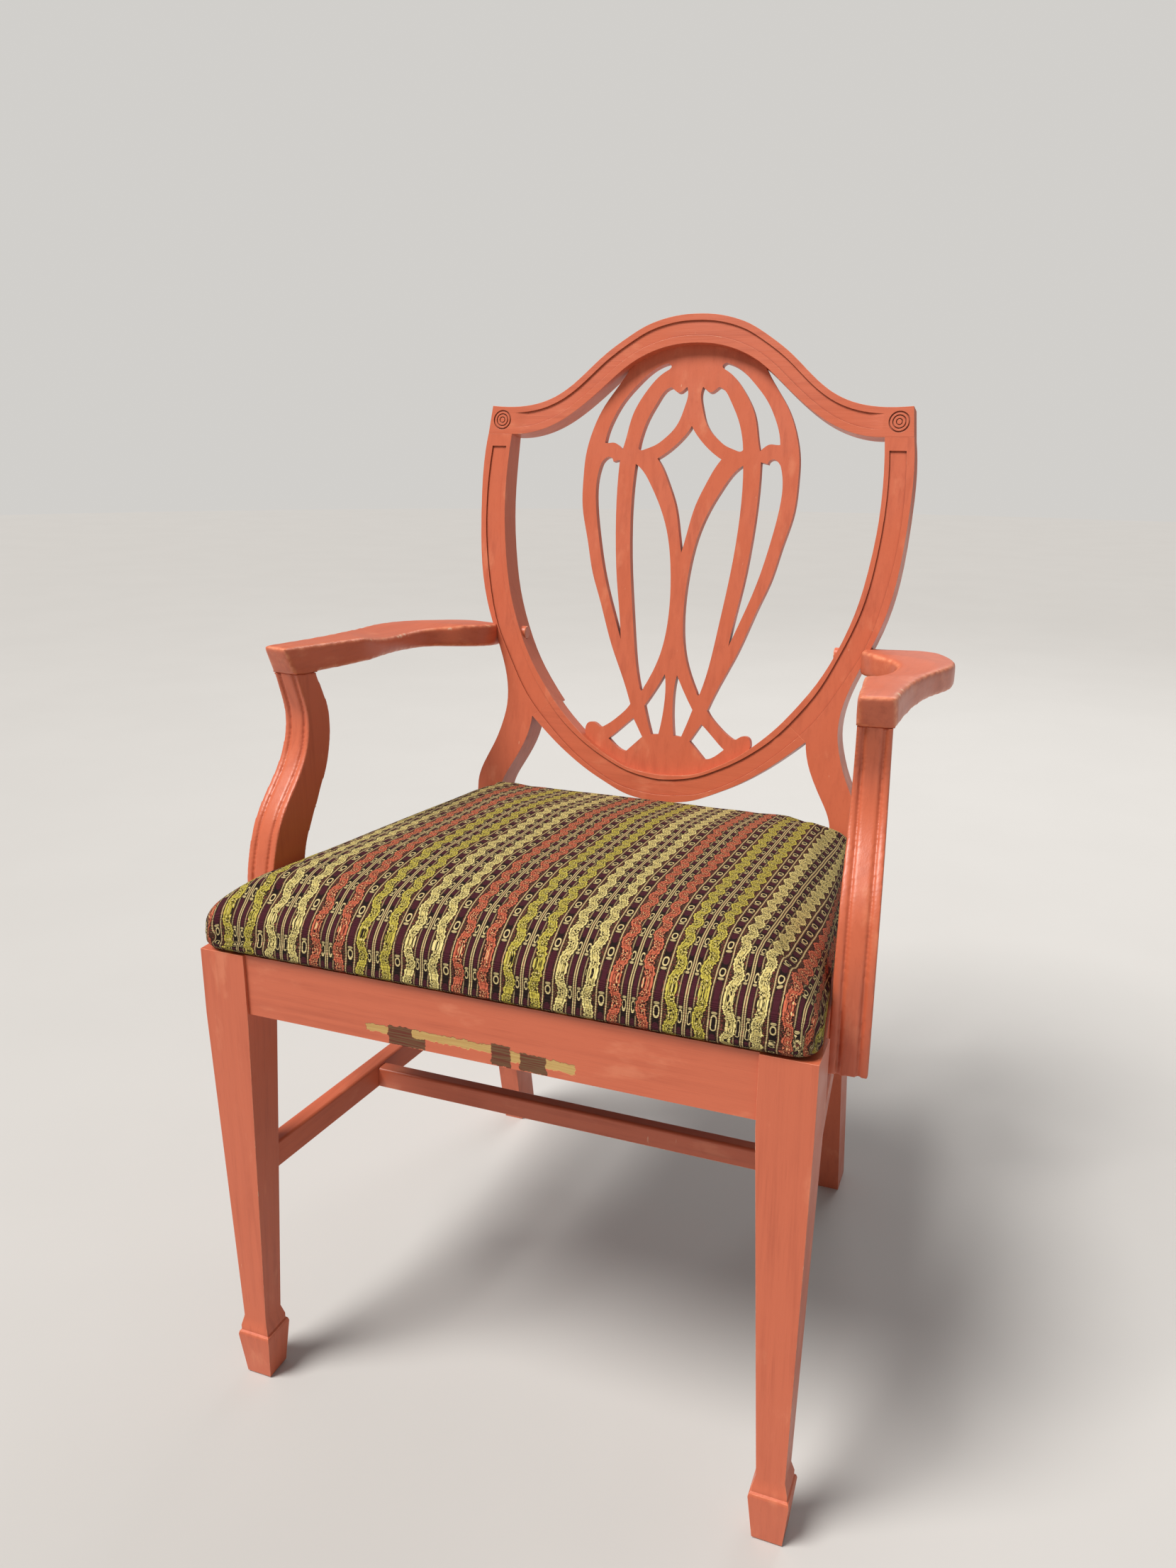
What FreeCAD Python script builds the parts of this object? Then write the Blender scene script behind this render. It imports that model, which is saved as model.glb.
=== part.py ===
import FreeCAD, Part
import os
from math import atan, atan2, cos, degrees, radians, sin, sqrt, tan

# Shield-back armchair of painted wood, with an upholstered seat that sits on top of its rails.
# Millimetres. +Z is up, the sitter faces -Y, and +X is right for someone who faces the chair.
# Pieces are drawn with Y = 0 on the front of the front legs. At the end they all move, so that
# the origin is on the floor below the middle of the chair.

# Seat frame
RAIL_TOP = 434.0
RAIL_DEPTH = 54.0
RAIL_THICKNESS = 22.0
RAIL_SETBACK = 2.8
FRONT_HALF_WIDTH = 258.4
BACK_Y = 425.8
BACK_RAIL_SETBACK = 16.0

# Front legs
LEG_WIDTH = 42.2
LEG_DEPTH = 41.0
LEG_STRAIGHT_BELOW_RAIL = 6.0
ANKLE_WIDTH = 23.3
ANKLE_HEIGHT = 63.0
ANKLE_OUTWARD = 4.0
ANKLE_FORWARD = 2.0
COLLAR_WIDTH = 28.5
COLLAR_HEIGHT = 53.0
FOOT_WIDTH = 33.0
FOOT_SHOULDER_HEIGHT = 47.0
FOOT_WIDEST_HEIGHT = 44.0
FOOT_BOTTOM_WIDTH = 25.0
FOOT_EDGE = 1.5

# Back posts: rear leg, neck and stile in one piece
BACK_LEAN = 11.41
POST_OUTER = 212.7
POST_WIDTH = 27.2
POST_DEPTH = 40.0
POST_FOOT_OUTER = 213.3
POST_FOOT_WIDTH = 23.3
POST_FOOT_SETBACK = 66.0
LEG_BEND_START = 230.0
LEG_BEND_END = 345.0
LEG_BEND_EASE = 12.0
LEG_BEND_SLACK = 1.2
POST_HOLLOW = 0.6
POST_HOLLOW_BELOW_TOP = 32.0
POST_WAIST = 1.6
POST_WAIST_BELOW_TOP = 8.0
POST_FACE_HEIGHTS = (6.0, 25.0)
FRAME_THICKNESS = 24.0

# Shield frame: points are (x, height up the leaning front plane from the seat rails)
CREST_JOINT = 418.4
CREST_TOP = [
    (0, 541.5), (20, 540.3), (40, 536), (56, 530), (72, 520.8), (101, 500),
    (124, 478.8), (149, 460.2), (171, 451.4), (200, 447.5), (226.3, 448.5),
]
CREST_UNDER = [
    (0, 512.3), (20, 511), (40, 506.3), (58, 498.8), (72, 490.2), (98, 468),
    (121, 448.5), (149, 430.3), (177, 420.5), (201.2, CREST_JOINT),
]
STILE_OUTER = [
    (229.5, CREST_JOINT), (232.7, 385), (232.5, 350), (230.3, 310), (225.5, 270), (215.3, 230),
    (195.3, 180), (187.3, 156), (183.9, 134), (184.3, 120), (188, 102),
    (POST_OUTER - 17.2, 80), (POST_OUTER - 7.7, 60), (POST_OUTER - 1.3, 43), (POST_OUTER, 28),
]
SHIELD_INNER = [
    (0, 62.5), (20, 63.8), (40, 67.8), (60, 76.8), (80, 88.3), (100, 104), (120, 123),
    (140, 147), (160, 176), (176.8, 210), (190.6, 250), (198.5, 290), (203.1, 330),
    (204.2, 370), (201.2, CREST_JOINT),
]
SHIELD_OUTER = [
    (0, 33.6), (20, 35), (40, 39.4), (60, 48), (80, 58), (100, 70.2), (120, 84.6), (140, 101.3),
    (152.6, 112.5),
]
NECK_INNER = [
    (153.6, 104), (157.8, 88), (164.8, 72), (POST_OUTER - POST_WIDTH - 12.3, 56.5),
    (POST_OUTER - POST_WIDTH - 2.9, 38), (POST_OUTER - POST_WIDTH, 24),
]
SHIELD_JOINT_SLOPE = 38.0
SHIELD_JOINT_REACH = 48.0
STILE_BACK = [
    (27, 395), (28.6, 360), (30, 300), (32, 200), (34, 110), (36.5, 70), (37, 35),
]

# Moulding of the shield frame
CHANNEL_DEPTH = 1.8
CHANNEL_TOP = 405.5
CHANNEL_INNER = [
    (0, 57.8), (20, 59.7), (40, 64.4), (60, 72.9), (80, 83.5), (100, 97), (120, 114), (140, 137),
    (160, 165.5), (176, 198), (190, 232), (199, 263), (205, 300), (209, 355), (207, CHANNEL_TOP),
]
CHANNEL_OUTER = [
    (0, 41), (20, 42.2), (40, 45.6), (60, 53), (80, 63.6), (100, 77), (120, 93.5), (140, 112.5),
    (160, 135), (187, 180), (200, 205), (214.5, 252), (224, 308), (226.3, 355),
    (223.5, CHANNEL_TOP),
]
CREST_BEAD_TOP = 6.5
CREST_BEAD_UNDER = 7.5
CREST_CHANNEL_HALF = 199.0
CREST_CHANNEL_RUN = 14.0
ROSETTE = (213.8, 433.5)
ROSETTE_GROOVES = [(10.4, 8.9), (6.9, 5.7), (3.4, 2.4)]
ROSETTE_DEPTH = 1.4

# Splat: outlines are runs that meet at corners, each run goes on from the end of the one before
SPLAT_SETBACK = 11.2
SPLAT_THICKNESS = 9.0
TONGUE_THICKNESS = 5.0
TONGUE_LENGTH = 8.0
SPLAT_FOOT_CORNER_DROP = 4.0
SPLAT_EDGE = [
    [(86, 470), (99.3, 450.5), (110.5, 425), (116.7, 396.7), (117.4, 377), (115.7, 343),
     (107.1, 308.6), (98.6, 274.3), (87.8, 245.7), (70, 197), (55.3, 165), (44.5, 139)],
    [(43, 135)],
    [(46.7, 129.6), (55, 121), (65, 112.5), (72, 108)],
    [(77, 107.5), (81, 110.3), (85, 111.8), (89.6, 110.8), (92.5, 106), (91.5, 97)],
]
SPLAT_TOP_CORNER = (74, 488.5)
SPLAT_CREST_SPAN = 72.0
SPLAT_FOOT_SPAN = 80.0
CRESCENT = [
    [(46.7, 488), (63.5, 473), (78, 456), (87.3, 439.5), (93, 425), (95.5, 412)],
    [(90, 412), (85, 412.3), (80, 409.8), (75, 405.3)],
    [(72.8, 413), (66.5, 441), (52, 467.5), (38, 483), (31, 487.5)],
    [(27.6, 491.3), (31.5, 494.6)],
]
EYE = [
    [(11.5, 467.8), (17, 464.6), (22, 467), (25.6, 470)],
    [(28.8, 469), (39.5, 456), (48, 440), (54.8, 420), (57.1, 406.5)],
    [(55.5, 405), (49, 406), (38, 410.5), (28.5, 417.5), (20, 426), (14.2, 435.5), (9.5, 450),
     (7, 462), (8.6, 470.3)],
]
ALMOND = [
    [(60, 370), (59.5, 330), (56.5, 291), (51, 248), (45.5, 210), (40, 177), (33.8, 153)],
    [(31.8, 150.2), (29.5, 153.8)],
    [(23.8, 165), (14.2, 190), (9.5, 215), (8, 244), (10.7, 285), (17, 318), (29.5, 350),
     (39.5, 368), (49, 382), (58.7, 390.5)],
]
SIDE_SLOT = [
    [(84.5, 392.5)],
    [(86.6, 396.3), (90, 397.3), (94, 395.5), (98, 390.5)],
    [(102, 365), (101, 350), (94.6, 313), (86.8, 280), (77, 249), (65.7, 219), (60, 204)],
    [(63.5, 230), (70.2, 270), (74.7, 310), (77.2, 350), (77, 394.2)],
]
KITE = [
    [(12.5, 159), (19, 147.5), (27, 134.5)],
    [(23, 121.7), (17, 104.5)],
    [(8.5, 105.3)],
    [(5.9, 123), (4.7, 140), (4.8, 155), (6.8, 170)],
]
FAN_DIAMOND = [
    [(26.6, 100.7)],
    [(44, 83.2)],
    [(49, 84), (58.3, 89.5), (65, 95.5)],
    [(56.7, 102.8), (46.7, 112.5), (38.2, 120)],
]
SPEAR_RIGHT = [
    [(3.3, 425), (10, 416.7), (26.7, 401.7), (35, 396.4)],
    [(28, 386), (21.5, 373), (11, 348), (4.7, 321), (0, 299)],
]
SPEAR_TIP = (0, 430.5)

# Stretchers
STRETCHER_HEIGHT = 24.0
STRETCHER_WIDTH = 16.5
STRETCHER_TOP = 231.0
CROSS_HEIGHT = 20.5
CROSS_WIDTH = 14.5
CROSS_Y = 201.2
STRETCHER_ROUND = 3.0
TENON_INSET = 4.0
CROSS_TENON_LENGTH = 8.0

# Arms: plan points are (distance out from the line of the side rail, y), and side points are
# (y, height above the rails). The top is dished towards the sitter
ARM_INNER = [
    (1.9, LEG_DEPTH + 88), (1.4, LEG_DEPTH + 124), (2.1, LEG_DEPTH + 165), (2.8, LEG_DEPTH + 208),
    (9.6, BACK_Y - 144.8), (20.4, BACK_Y - 105.8), (26.4, BACK_Y - 72.8), (26.2, BACK_Y - 48),
    (19.3, BACK_Y - 32), (6.3, BACK_Y - 18), (-3.7, BACK_Y), (-5.7, BACK_Y + 40),
]
ARM_OUTER = [
    (31, LEG_DEPTH + 95), (35.7, LEG_DEPTH + 143), (44.5, LEG_DEPTH + 200),
    (51.9, BACK_Y - 150.8), (62.6, BACK_Y - 110.8), (75.3, BACK_Y - 67.8), (79.6, BACK_Y - 33),
    (77.7, BACK_Y - 5), (74.9, BACK_Y + 23), (68.5, BACK_Y + 65),
]
ARM_BACK = [(59.9, BACK_Y + 77), (46.4, BACK_Y + 81.5), (25.4, BACK_Y + 73), (-0.8, BACK_Y + 62)]
ARM_TOP = [
    (LEG_DEPTH + 84, 232), (LEG_DEPTH + 119, 230), (LEG_DEPTH + 170, 226.7), (BACK_Y - 150.8, 222.7),
    (BACK_Y - 110.8, 220), (BACK_Y - 65.8, 216.7), (BACK_Y - 5, 212), (BACK_Y + 48, 206),
    (BACK_Y + 84, 202),
]
ARM_UNDER = [
    (LEG_DEPTH + 84, 208), (LEG_DEPTH + 134, 203.2), (BACK_Y - 175.8, 200.5), (BACK_Y - 125.8, 198),
    (BACK_Y - 75.8, 194), (BACK_Y - 26, 190), (BACK_Y + 14, 185.5), (BACK_Y + 84, 179),
]
ARM_FRONT_LEAN = 24.0
DISH_OUT = 4.0
DISH_Y = BACK_Y - 101.0
DISH_DEPTH = 7.2
DISH_HALF_WIDTH = 60.0
DISH_HALF_LENGTH = 94.0
DISH_ROUNDNESS = 60.0
DISH_SLOPE = 4.4

# Arm supports: points are (distance behind the front leg along the rail, height above the rails)
SUPPORT_FRONT = [
    (55, -60), (51.5, -10), (52.8, 33), (56.7, 49), (62, 65), (68.9, 79), (78.8, 93), (89.9, 106),
    (100.1, 119), (108.6, 134), (113.5, 150), (114.5, 167), (110.5, 184), (105, 201), (101, 214),
]
SUPPORT_BACK = [
    (126.5, 214), (130.5, 201), (137.8, 184), (143.7, 166), (144.3, 148), (140.5, 128), (135.5, 114),
    (125.4, 96), (116.6, 80), (107.6, 64), (98.9, 44), (95, 20), (95, -10), (98, -60),
]
SUPPORT_IN = [(0, -62), (0, 30), (0.5, 93), (1.3, 140), (2.5, 216)]
SUPPORT_OUT = [(28.9, 216), (29.4, 160), (30.3, 100), (30.7, 50), (31, -62)]
SUPPORT_BEAD = 6.0
SUPPORT_GROOVE = 3.2
SUPPORT_GROOVE_DEPTH = 2.2

# Upholstered seat: form sections are (height above its underside, distance in from its edge, and
# from its back edge), and the form gets lower towards the back
DUST_COVER_THICKNESS = 0.8
COVER_THICKNESS = 1.2
BOARD_THICKNESS = 12.0
BOARD_INSET = 12.0
SEAT_OVERHANG = 8.0
SEAT_SIDE_GAP = 0.5
SEAT_BACK_REACH = 32.0
SEAT_POST_GAP = 1.5
SEAT_CORNER_RADIUS = 14.0
SEAT_HEIGHT = 64.0
SEAT_TAPER = 0.33
SEAT_FORM = [
    (0, 6, 6), (5, 3, 3), (13, 0.5, 0.5), (23, 0, 0), (32, 2.5, 6), (40, 9, 18), (46.5, 20, 40),
    (53, 42, 84), (59, 80, 130), (SEAT_HEIGHT, 130, 180),
]
TURN_UNDER = 46.0
DUST_COVER_INSET = 16.0
TACK_INSET = 36.0
TACK_HEAD_RADIUS = 3.2
TACK_HEAD_THICKNESS = 1.0
TACK_SHANK_RADIUS = 0.9
TACK_LENGTH = 11.0
TACKS_PER_SIDE = 5

# Fastenings
DOWEL_RADIUS = 4.0
DOWEL_LENGTH = 40.0
DOWEL_FROM_EDGE = 13.0
ARM_DOWEL_RADIUS = 5.0
ARM_DOWEL_LENGTH = 30.0
BLOCK_DEPTH = 34.0
BLOCK_BELOW_TOP = 2.5
BLOCK_FRONT_REACH = 66.0
BLOCK_SIDE_REACH = 50.0
BLOCK_GAP = 1.5
BLOCK_SCREW_SHARE = 0.35
JOINT_DOWEL_REACHES = (10.0, 23.4)
SCREW_RADIUS = 2.2
SCREW_HEAD_RADIUS = 4.2
SCREW_HEAD_DEPTH = 3.2
BLOCK_SCREW_LENGTH = 38.0
SEAT_SCREW_LENGTH = 45.0
SEAT_SCREW_FRONT_INSET = (12.0, 27.0)
SEAT_SCREW_BACK_INSET = (8.0, 10.0)
SUPPORT_SCREW_LENGTH = 42.0
ARM_SCREW_LENGTH = 50.0
ARM_SCREW_HEIGHT = 204.0
PLUG_RADIUS = 7.0
PLUG_LENGTH = 11.0
PLUG_PROUD = 3.0

TOE = degrees(atan((FRONT_HALF_WIDTH - POST_OUTER - RAIL_SETBACK) / (BACK_Y - LEG_DEPTH)))
LEG_INNER = FRONT_HALF_WIDTH - LEG_WIDTH
POST_INNER = POST_OUTER - POST_WIDTH
SIDE_RAIL_FACE = FRONT_HALF_WIDTH - RAIL_SETBACK
BIG = 1000.0


def vec(x, y, z):
    return FreeCAD.Vector(x, y, z)


def upright(x, h):
    """A point of a front view outline."""
    return vec(x, 0, h)


def edgewise(y, h):
    """A point of a side view outline."""
    return vec(0, y, h)


def flat(x, y):
    """A point of a plan outline."""
    return vec(x, y, 0)


def edge(points):
    """A straight edge through two points, or a smooth one through more."""
    if len(points) == 2:
        return Part.LineSegment(*points).toShape()
    curve = Part.BSplineCurve()
    curve.interpolate(points)
    return curve.toShape()


def outline(runs, place=upright):
    """A closed face from runs of points. Each run goes on from the end of the run before it."""
    edges = []
    for before, run in zip(runs[-1:] + runs[:-1], runs):
        edges.append(edge([place(*point) for point in [before[-1]] + run]))
    return Part.Face(Part.Wire(edges))


def mirrored(points):
    """The same curve on the other side of the middle, run through backwards."""
    return [(-x, h) for x, h in reversed(points)]


def across(half):
    """A whole curve from its right half, which starts on the middle line."""
    return mirrored(half)[:-1] + half


def offset(points, distance):
    """Points moved sideways from the curve through them, to the left of its direction."""
    curve = Part.BSplineCurve()
    curve.interpolate([upright(*point) for point in points])
    moved = []
    for x, h in points:
        tangent = curve.tangent(curve.parameter(upright(x, h)))[0]
        moved.append((x - distance * tangent.z, h + distance * tangent.x))
    return moved


def lean(shape):
    """Puts a shape drawn upright against Y = 0 onto the leaning front plane of the back."""
    shape = shape.copy()
    shape.rotate(vec(0, 0, 0), vec(1, 0, 0), -BACK_LEAN)
    shape.translate(vec(0, BACK_Y, RAIL_TOP))
    return shape


def leaned(t, h):
    """Side view point at depth t and height h of the leaning back, above the rails."""
    slope = radians(BACK_LEAN)
    return (BACK_Y + t * cos(slope) + h * sin(slope), h * cos(slope) - t * sin(slope))


def slab(face, near, far):
    """The solid between two depths behind a front view face."""
    face = face.copy()
    face.translate(vec(0, near, 0))
    return face.extrude(vec(0, far - near, 0))


def mirror(shape):
    return shape.mirror(vec(0, 0, 0), vec(1, 0, 0))


def bar(start, direction, length, radius):
    return Part.makeCylinder(radius, length, start, direction)


def screw(tip_from, direction, length):
    """A countersunk screw: its head starts at a point and its shank runs along a direction."""
    head = Part.makeCone(SCREW_HEAD_RADIUS, SCREW_RADIUS, SCREW_HEAD_DEPTH, tip_from, direction)
    shank = bar(tip_from, direction, length, SCREW_RADIUS)
    return head.fuse(shank).removeSplitter()


def rail_place(shape):
    """Moves a shape drawn along +Y from the origin to the outer face of the right side rail."""
    shape = shape.copy()
    shape.rotate(vec(0, 0, 0), vec(0, 0, 1), TOE)
    shape.translate(vec(SIDE_RAIL_FACE, LEG_DEPTH, 0))
    return shape


def rail_point(out, along, z):
    """A point given by its distance out from the right side rail and back from the front leg."""
    toe = radians(TOE)
    x = SIDE_RAIL_FACE + out * cos(toe) - along * sin(toe)
    return vec(x, LEG_DEPTH + along * cos(toe) + out * sin(toe), z)


def beside_rail(out, y):
    """A plan point, given by its distance out from the line of the right side rail."""
    return vec(SIDE_RAIL_FACE - (y - LEG_DEPTH) * tan(radians(TOE)) + out, y, 0)


def square_wire(x, y, size, z):
    half = size / 2
    corners = [(-half, -half), (half, -half), (half, half), (-half, half), (-half, -half)]
    return Part.makePolygon([vec(x + dx, y + dy, z) for dx, dy in corners])


def square_loft(x, y, sections):
    """A four-sided tapered solid through (height, width) sections, lowest first."""
    wires = [square_wire(x, y, width, z) for z, width in sections]
    return Part.makeLoft(wires, True, True)


def front_leg():
    x = FRONT_HALF_WIDTH - LEG_WIDTH / 2 + ANKLE_OUTWARD
    y = LEG_DEPTH / 2 - ANKLE_FORWARD
    straight = RAIL_TOP - RAIL_DEPTH - LEG_STRAIGHT_BELOW_RAIL
    block = Part.makeBox(LEG_WIDTH, LEG_DEPTH, RAIL_TOP - straight, vec(LEG_INNER, 0, straight))
    top = Part.makePolygon([
        vec(LEG_INNER, 0, straight), vec(FRONT_HALF_WIDTH, 0, straight),
        vec(FRONT_HALF_WIDTH, LEG_DEPTH, straight), vec(LEG_INNER, LEG_DEPTH, straight),
        vec(LEG_INNER, 0, straight),
    ])
    taper = Part.makeLoft([square_wire(x, y, ANKLE_WIDTH, ANKLE_HEIGHT), top], True, True)
    foot = square_loft(x, y, [
        (0, FOOT_BOTTOM_WIDTH - 2 * FOOT_EDGE), (FOOT_EDGE, FOOT_BOTTOM_WIDTH),
        (FOOT_WIDEST_HEIGHT, FOOT_WIDTH), (FOOT_SHOULDER_HEIGHT, FOOT_WIDTH - FOOT_EDGE),
        (FOOT_SHOULDER_HEIGHT + FOOT_EDGE, COLLAR_WIDTH), (COLLAR_HEIGHT, COLLAR_WIDTH),
        (ANKLE_HEIGHT, ANKLE_WIDTH),
    ])
    return block.fuse([taper, foot]).removeSplitter()


def post_profile():
    """Side view of a back post, swept over the whole width."""
    front_foot = BACK_Y + POST_FOOT_SETBACK
    back_y = BACK_Y + POST_DEPTH
    leg_slope = POST_FOOT_SETBACK / (LEG_BEND_START + LEG_BEND_END) * 2
    bend = front_foot - leg_slope * LEG_BEND_START
    bend_low = LEG_BEND_START - RAIL_TOP
    bend_top = LEG_BEND_END - RAIL_TOP
    bend_middle = (bend_low + bend_top) / 2 + LEG_BEND_EASE
    front = [(BACK_Y + LEG_BEND_SLACK, bend_middle), (BACK_Y, bend_top),
             (BACK_Y - POST_HOLLOW, -POST_HOLLOW_BELOW_TOP)]
    front += [leaned(0, height) for height in POST_FACE_HEIGHTS]
    back = [leaned(depth, height) for depth, height in STILE_BACK]
    back += [(back_y - POST_WAIST, -POST_WAIST_BELOW_TOP), (back_y - POST_WAIST, bend_top),
             (back_y, bend_middle), (bend + POST_DEPTH, bend_low)]
    face = outline([
        [(bend, bend_low)], front, [leaned(0, CREST_JOINT)], [leaned(FRAME_THICKNESS, CREST_JOINT)],
        back, [(front_foot + POST_DEPTH, -RAIL_TOP)], [(front_foot, -RAIL_TOP)],
    ], edgewise)
    face.translate(vec(0, 0, RAIL_TOP))
    return face.extrude(vec(FRONT_HALF_WIDTH, 0, 0))


def joint_corner():
    """Where the line of the joint between post and bottom rail ends, inside the shield."""
    slope = radians(SHIELD_JOINT_SLOPE)
    x, h = SHIELD_OUTER[-1]
    return (x - SHIELD_JOINT_REACH * cos(slope), h + SHIELD_JOINT_REACH * sin(slope))


def shield_window():
    """The space inside the shield frame, below the crest joint."""
    up = CREST_JOINT
    wide = STILE_OUTER[0][0]
    face = outline([across(SHIELD_INNER)[1:], [(SHIELD_INNER[-1][0], up + wide)],
                    [(-SHIELD_INNER[-1][0], up + wide)], [(-SHIELD_INNER[-1][0], up)]])
    return lean(slab(face, -BIG / 4, BIG / 4))


def shield_channel():
    """The sunk flat of the moulding, from one stile round the bottom rail to the other."""
    face = outline([across(CHANNEL_OUTER)[1:], [CHANNEL_INNER[-1]],
                    list(reversed(across(CHANNEL_INNER)))[1:], [mirrored(CHANNEL_OUTER)[0]]])
    return lean(slab(face, -CHANNEL_DEPTH, CHANNEL_DEPTH))


def crest_channel():
    """The sunk flat of the crest rail, which runs out to nothing before the roundels."""
    top = offset(across(CREST_TOP), -CREST_BEAD_TOP)
    under = offset(across(CREST_UNDER), CREST_BEAD_UNDER)
    face = outline([top[1:], [under[-1]], list(reversed(under))[1:], [top[0]]])
    end = CREST_CHANNEL_HALF
    flat_end = end - CREST_CHANNEL_RUN
    deep = CHANNEL_DEPTH
    corners = [(-end, -deep), (end, -deep), (end, 0), (flat_end, deep), (-flat_end, deep), (-end, 0)]
    limit = Part.Face(Part.makePolygon([flat(x, y) for x, y in corners + corners[:1]]))
    return lean(slab(face, -deep, deep).common(limit.extrude(vec(0, 0, BIG))))


def rosette_rings(side):
    """The rings cut into the small turned roundel at one end of the crest rail."""
    x, h = ROSETTE
    start = vec(side * x, -ROSETTE_DEPTH, h)
    aim = vec(0, 1, 0)
    return [lean(bar(start, aim, 2 * ROSETTE_DEPTH, outer).cut(bar(start, aim, 2 * ROSETTE_DEPTH, inner)))
            for outer, inner in ROSETTE_GROOVES]


def crest_blank():
    face = outline([across(CREST_TOP)[1:], [STILE_OUTER[0]], [CREST_UNDER[-1]],
                    list(reversed(across(CREST_UNDER)))[1:], [mirrored(STILE_OUTER)[-1]],
                    [mirrored(CREST_TOP)[0]]])
    return lean(slab(face, 0, FRAME_THICKNESS))


def bottom_rail_blank(window):
    x, h = joint_corner()
    face = outline([across(SHIELD_OUTER)[1:], [(x, h)], [(-x, h)], [mirrored(SHIELD_OUTER)[0]]])
    return lean(slab(face, 0, FRAME_THICKNESS)).cut(window)


def back_post(window):
    x, h = joint_corner()
    low = -RAIL_DEPTH / 2
    inside = SHIELD_INNER[-1][0] - FRAME_THICKNESS
    face = outline([
        STILE_OUTER[1:], [(POST_OUTER, low)], [(POST_INNER, low)], [NECK_INNER[-1]],
        list(reversed(NECK_INNER[:-1])) + [SHIELD_OUTER[-1]], [(x, h)],
        [(x + FRAME_THICKNESS, h + RAIL_DEPTH)], [(inside, CREST_JOINT)], [STILE_OUTER[0]],
    ])
    upper = lean(slab(face, -FRAME_THICKNESS, 3 * FRAME_THICKNESS))
    foot_inner = POST_FOOT_OUTER - POST_FOOT_WIDTH
    leg_face = outline([
        [(POST_OUTER, RAIL_TOP)], [(POST_FOOT_OUTER, 0)], [(foot_inner, 0)],
        [(POST_INNER, LEG_BEND_END)], [(POST_INNER, RAIL_TOP)],
    ])
    leg = slab(leg_face, BACK_Y - POST_DEPTH, BACK_Y + 3 * POST_DEPTH)
    return upper.cut(window).fuse(leg).common(post_profile()).removeSplitter()


def splat_blank(near, far):
    """The splat with its tongues, between two depths behind the front plane."""
    top = [(x, h + TONGUE_LENGTH) for x, h in CREST_UNDER if x <= SPLAT_CREST_SPAN]
    foot = [(x, h - TONGUE_LENGTH) for x, h in SHIELD_INNER if x <= SPLAT_FOOT_SPAN]
    x, h = SPLAT_EDGE[-1][-1]
    low_corner = (x, h - SPLAT_FOOT_CORNER_DROP)
    right = [[SPLAT_TOP_CORNER]] + SPLAT_EDGE + [[low_corner]]
    points = [SPLAT_TOP_CORNER] + [point for run in SPLAT_EDGE for point in run]
    left = []
    start = len(points)
    for run in reversed(SPLAT_EDGE):
        start -= len(run)
        left.append(mirrored(points[start - 1:start + len(run)])[1:])
    runs = [across(top)[1:]] + right + [[foot[-1]], list(reversed(across(foot)))[1:]]
    runs += [[(-low_corner[0], low_corner[1])], [mirrored(points)[0]]] + left
    runs += [[mirrored(top)[0]]]
    return lean(slab(outline(runs), near, far))


def splat_openings():
    spear_left = mirrored([SPEAR_TIP] + SPEAR_RIGHT[0] + SPEAR_RIGHT[1])
    corner = len(SPEAR_RIGHT[1]) + 1
    runs = SPEAR_RIGHT + [spear_left[1:corner], spear_left[corner:]]
    cuts = [outline(runs)]
    for runs in (CRESCENT, EYE, ALMOND, SIDE_SLOT, KITE, FAN_DIAMOND):
        right = outline(runs)
        cuts += [right, mirror(right)]
    return [lean(slab(face, -BIG / 4, BIG / 4)) for face in cuts]


def splat_tongue():
    middle = SPLAT_SETBACK + SPLAT_THICKNESS / 2
    return splat_blank(middle - TONGUE_THICKNESS / 2, middle + TONGUE_THICKNESS / 2)


def front_rail():
    box = Part.makeBox(2 * LEG_INNER, RAIL_THICKNESS, RAIL_DEPTH)
    box.translate(vec(-LEG_INNER, RAIL_SETBACK, RAIL_TOP - RAIL_DEPTH))
    return box


def side_rail(leg, post):
    length = BACK_Y + POST_DEPTH / 2 - LEG_DEPTH
    box = Part.makeBox(RAIL_THICKNESS, length + LEG_DEPTH / 2, RAIL_DEPTH)
    box.translate(vec(-RAIL_THICKNESS, -LEG_DEPTH / 2, RAIL_TOP - RAIL_DEPTH))
    rail = rail_place(box).cut(leg).cut(post)
    return max(rail.Solids, key=lambda solid: solid.Volume)


def back_rail():
    box = Part.makeBox(2 * POST_INNER, RAIL_THICKNESS, RAIL_DEPTH)
    box.translate(vec(-POST_INNER, BACK_Y + BACK_RAIL_SETBACK, RAIL_TOP - RAIL_DEPTH))
    return box


def rounded_bar(width, length, height):
    """A bar along +Y with softened long edges on top, centred on X, its top at zero."""
    box = Part.makeBox(width, length, height, vec(-width / 2, 0, -height))
    top = [e for e in box.Edges if e.BoundBox.ZMin > -height / 2 and e.BoundBox.YLength > width]
    return box.makeFillet(STRETCHER_ROUND, top)


def stretcher_line():
    """Start, direction angle and length of the middle line of the right side stretcher."""
    start = vec(FRONT_HALF_WIDTH - LEG_WIDTH / 2, LEG_DEPTH / 2, STRETCHER_TOP)
    rear_x = (POST_OUTER + POST_INNER) / 2
    rear_y = BACK_Y + POST_FOOT_SETBACK / 4 + POST_DEPTH / 2
    angle = degrees(atan((start.x - rear_x) / (rear_y - start.y)))
    return start, angle, vec(rear_x, rear_y, STRETCHER_TOP).distanceToPoint(start)


def along_stretcher(shape):
    start, angle, _ = stretcher_line()
    shape = shape.copy()
    shape.rotate(vec(0, 0, 0), vec(0, 0, 1), angle)
    shape.translate(start)
    return shape


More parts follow.
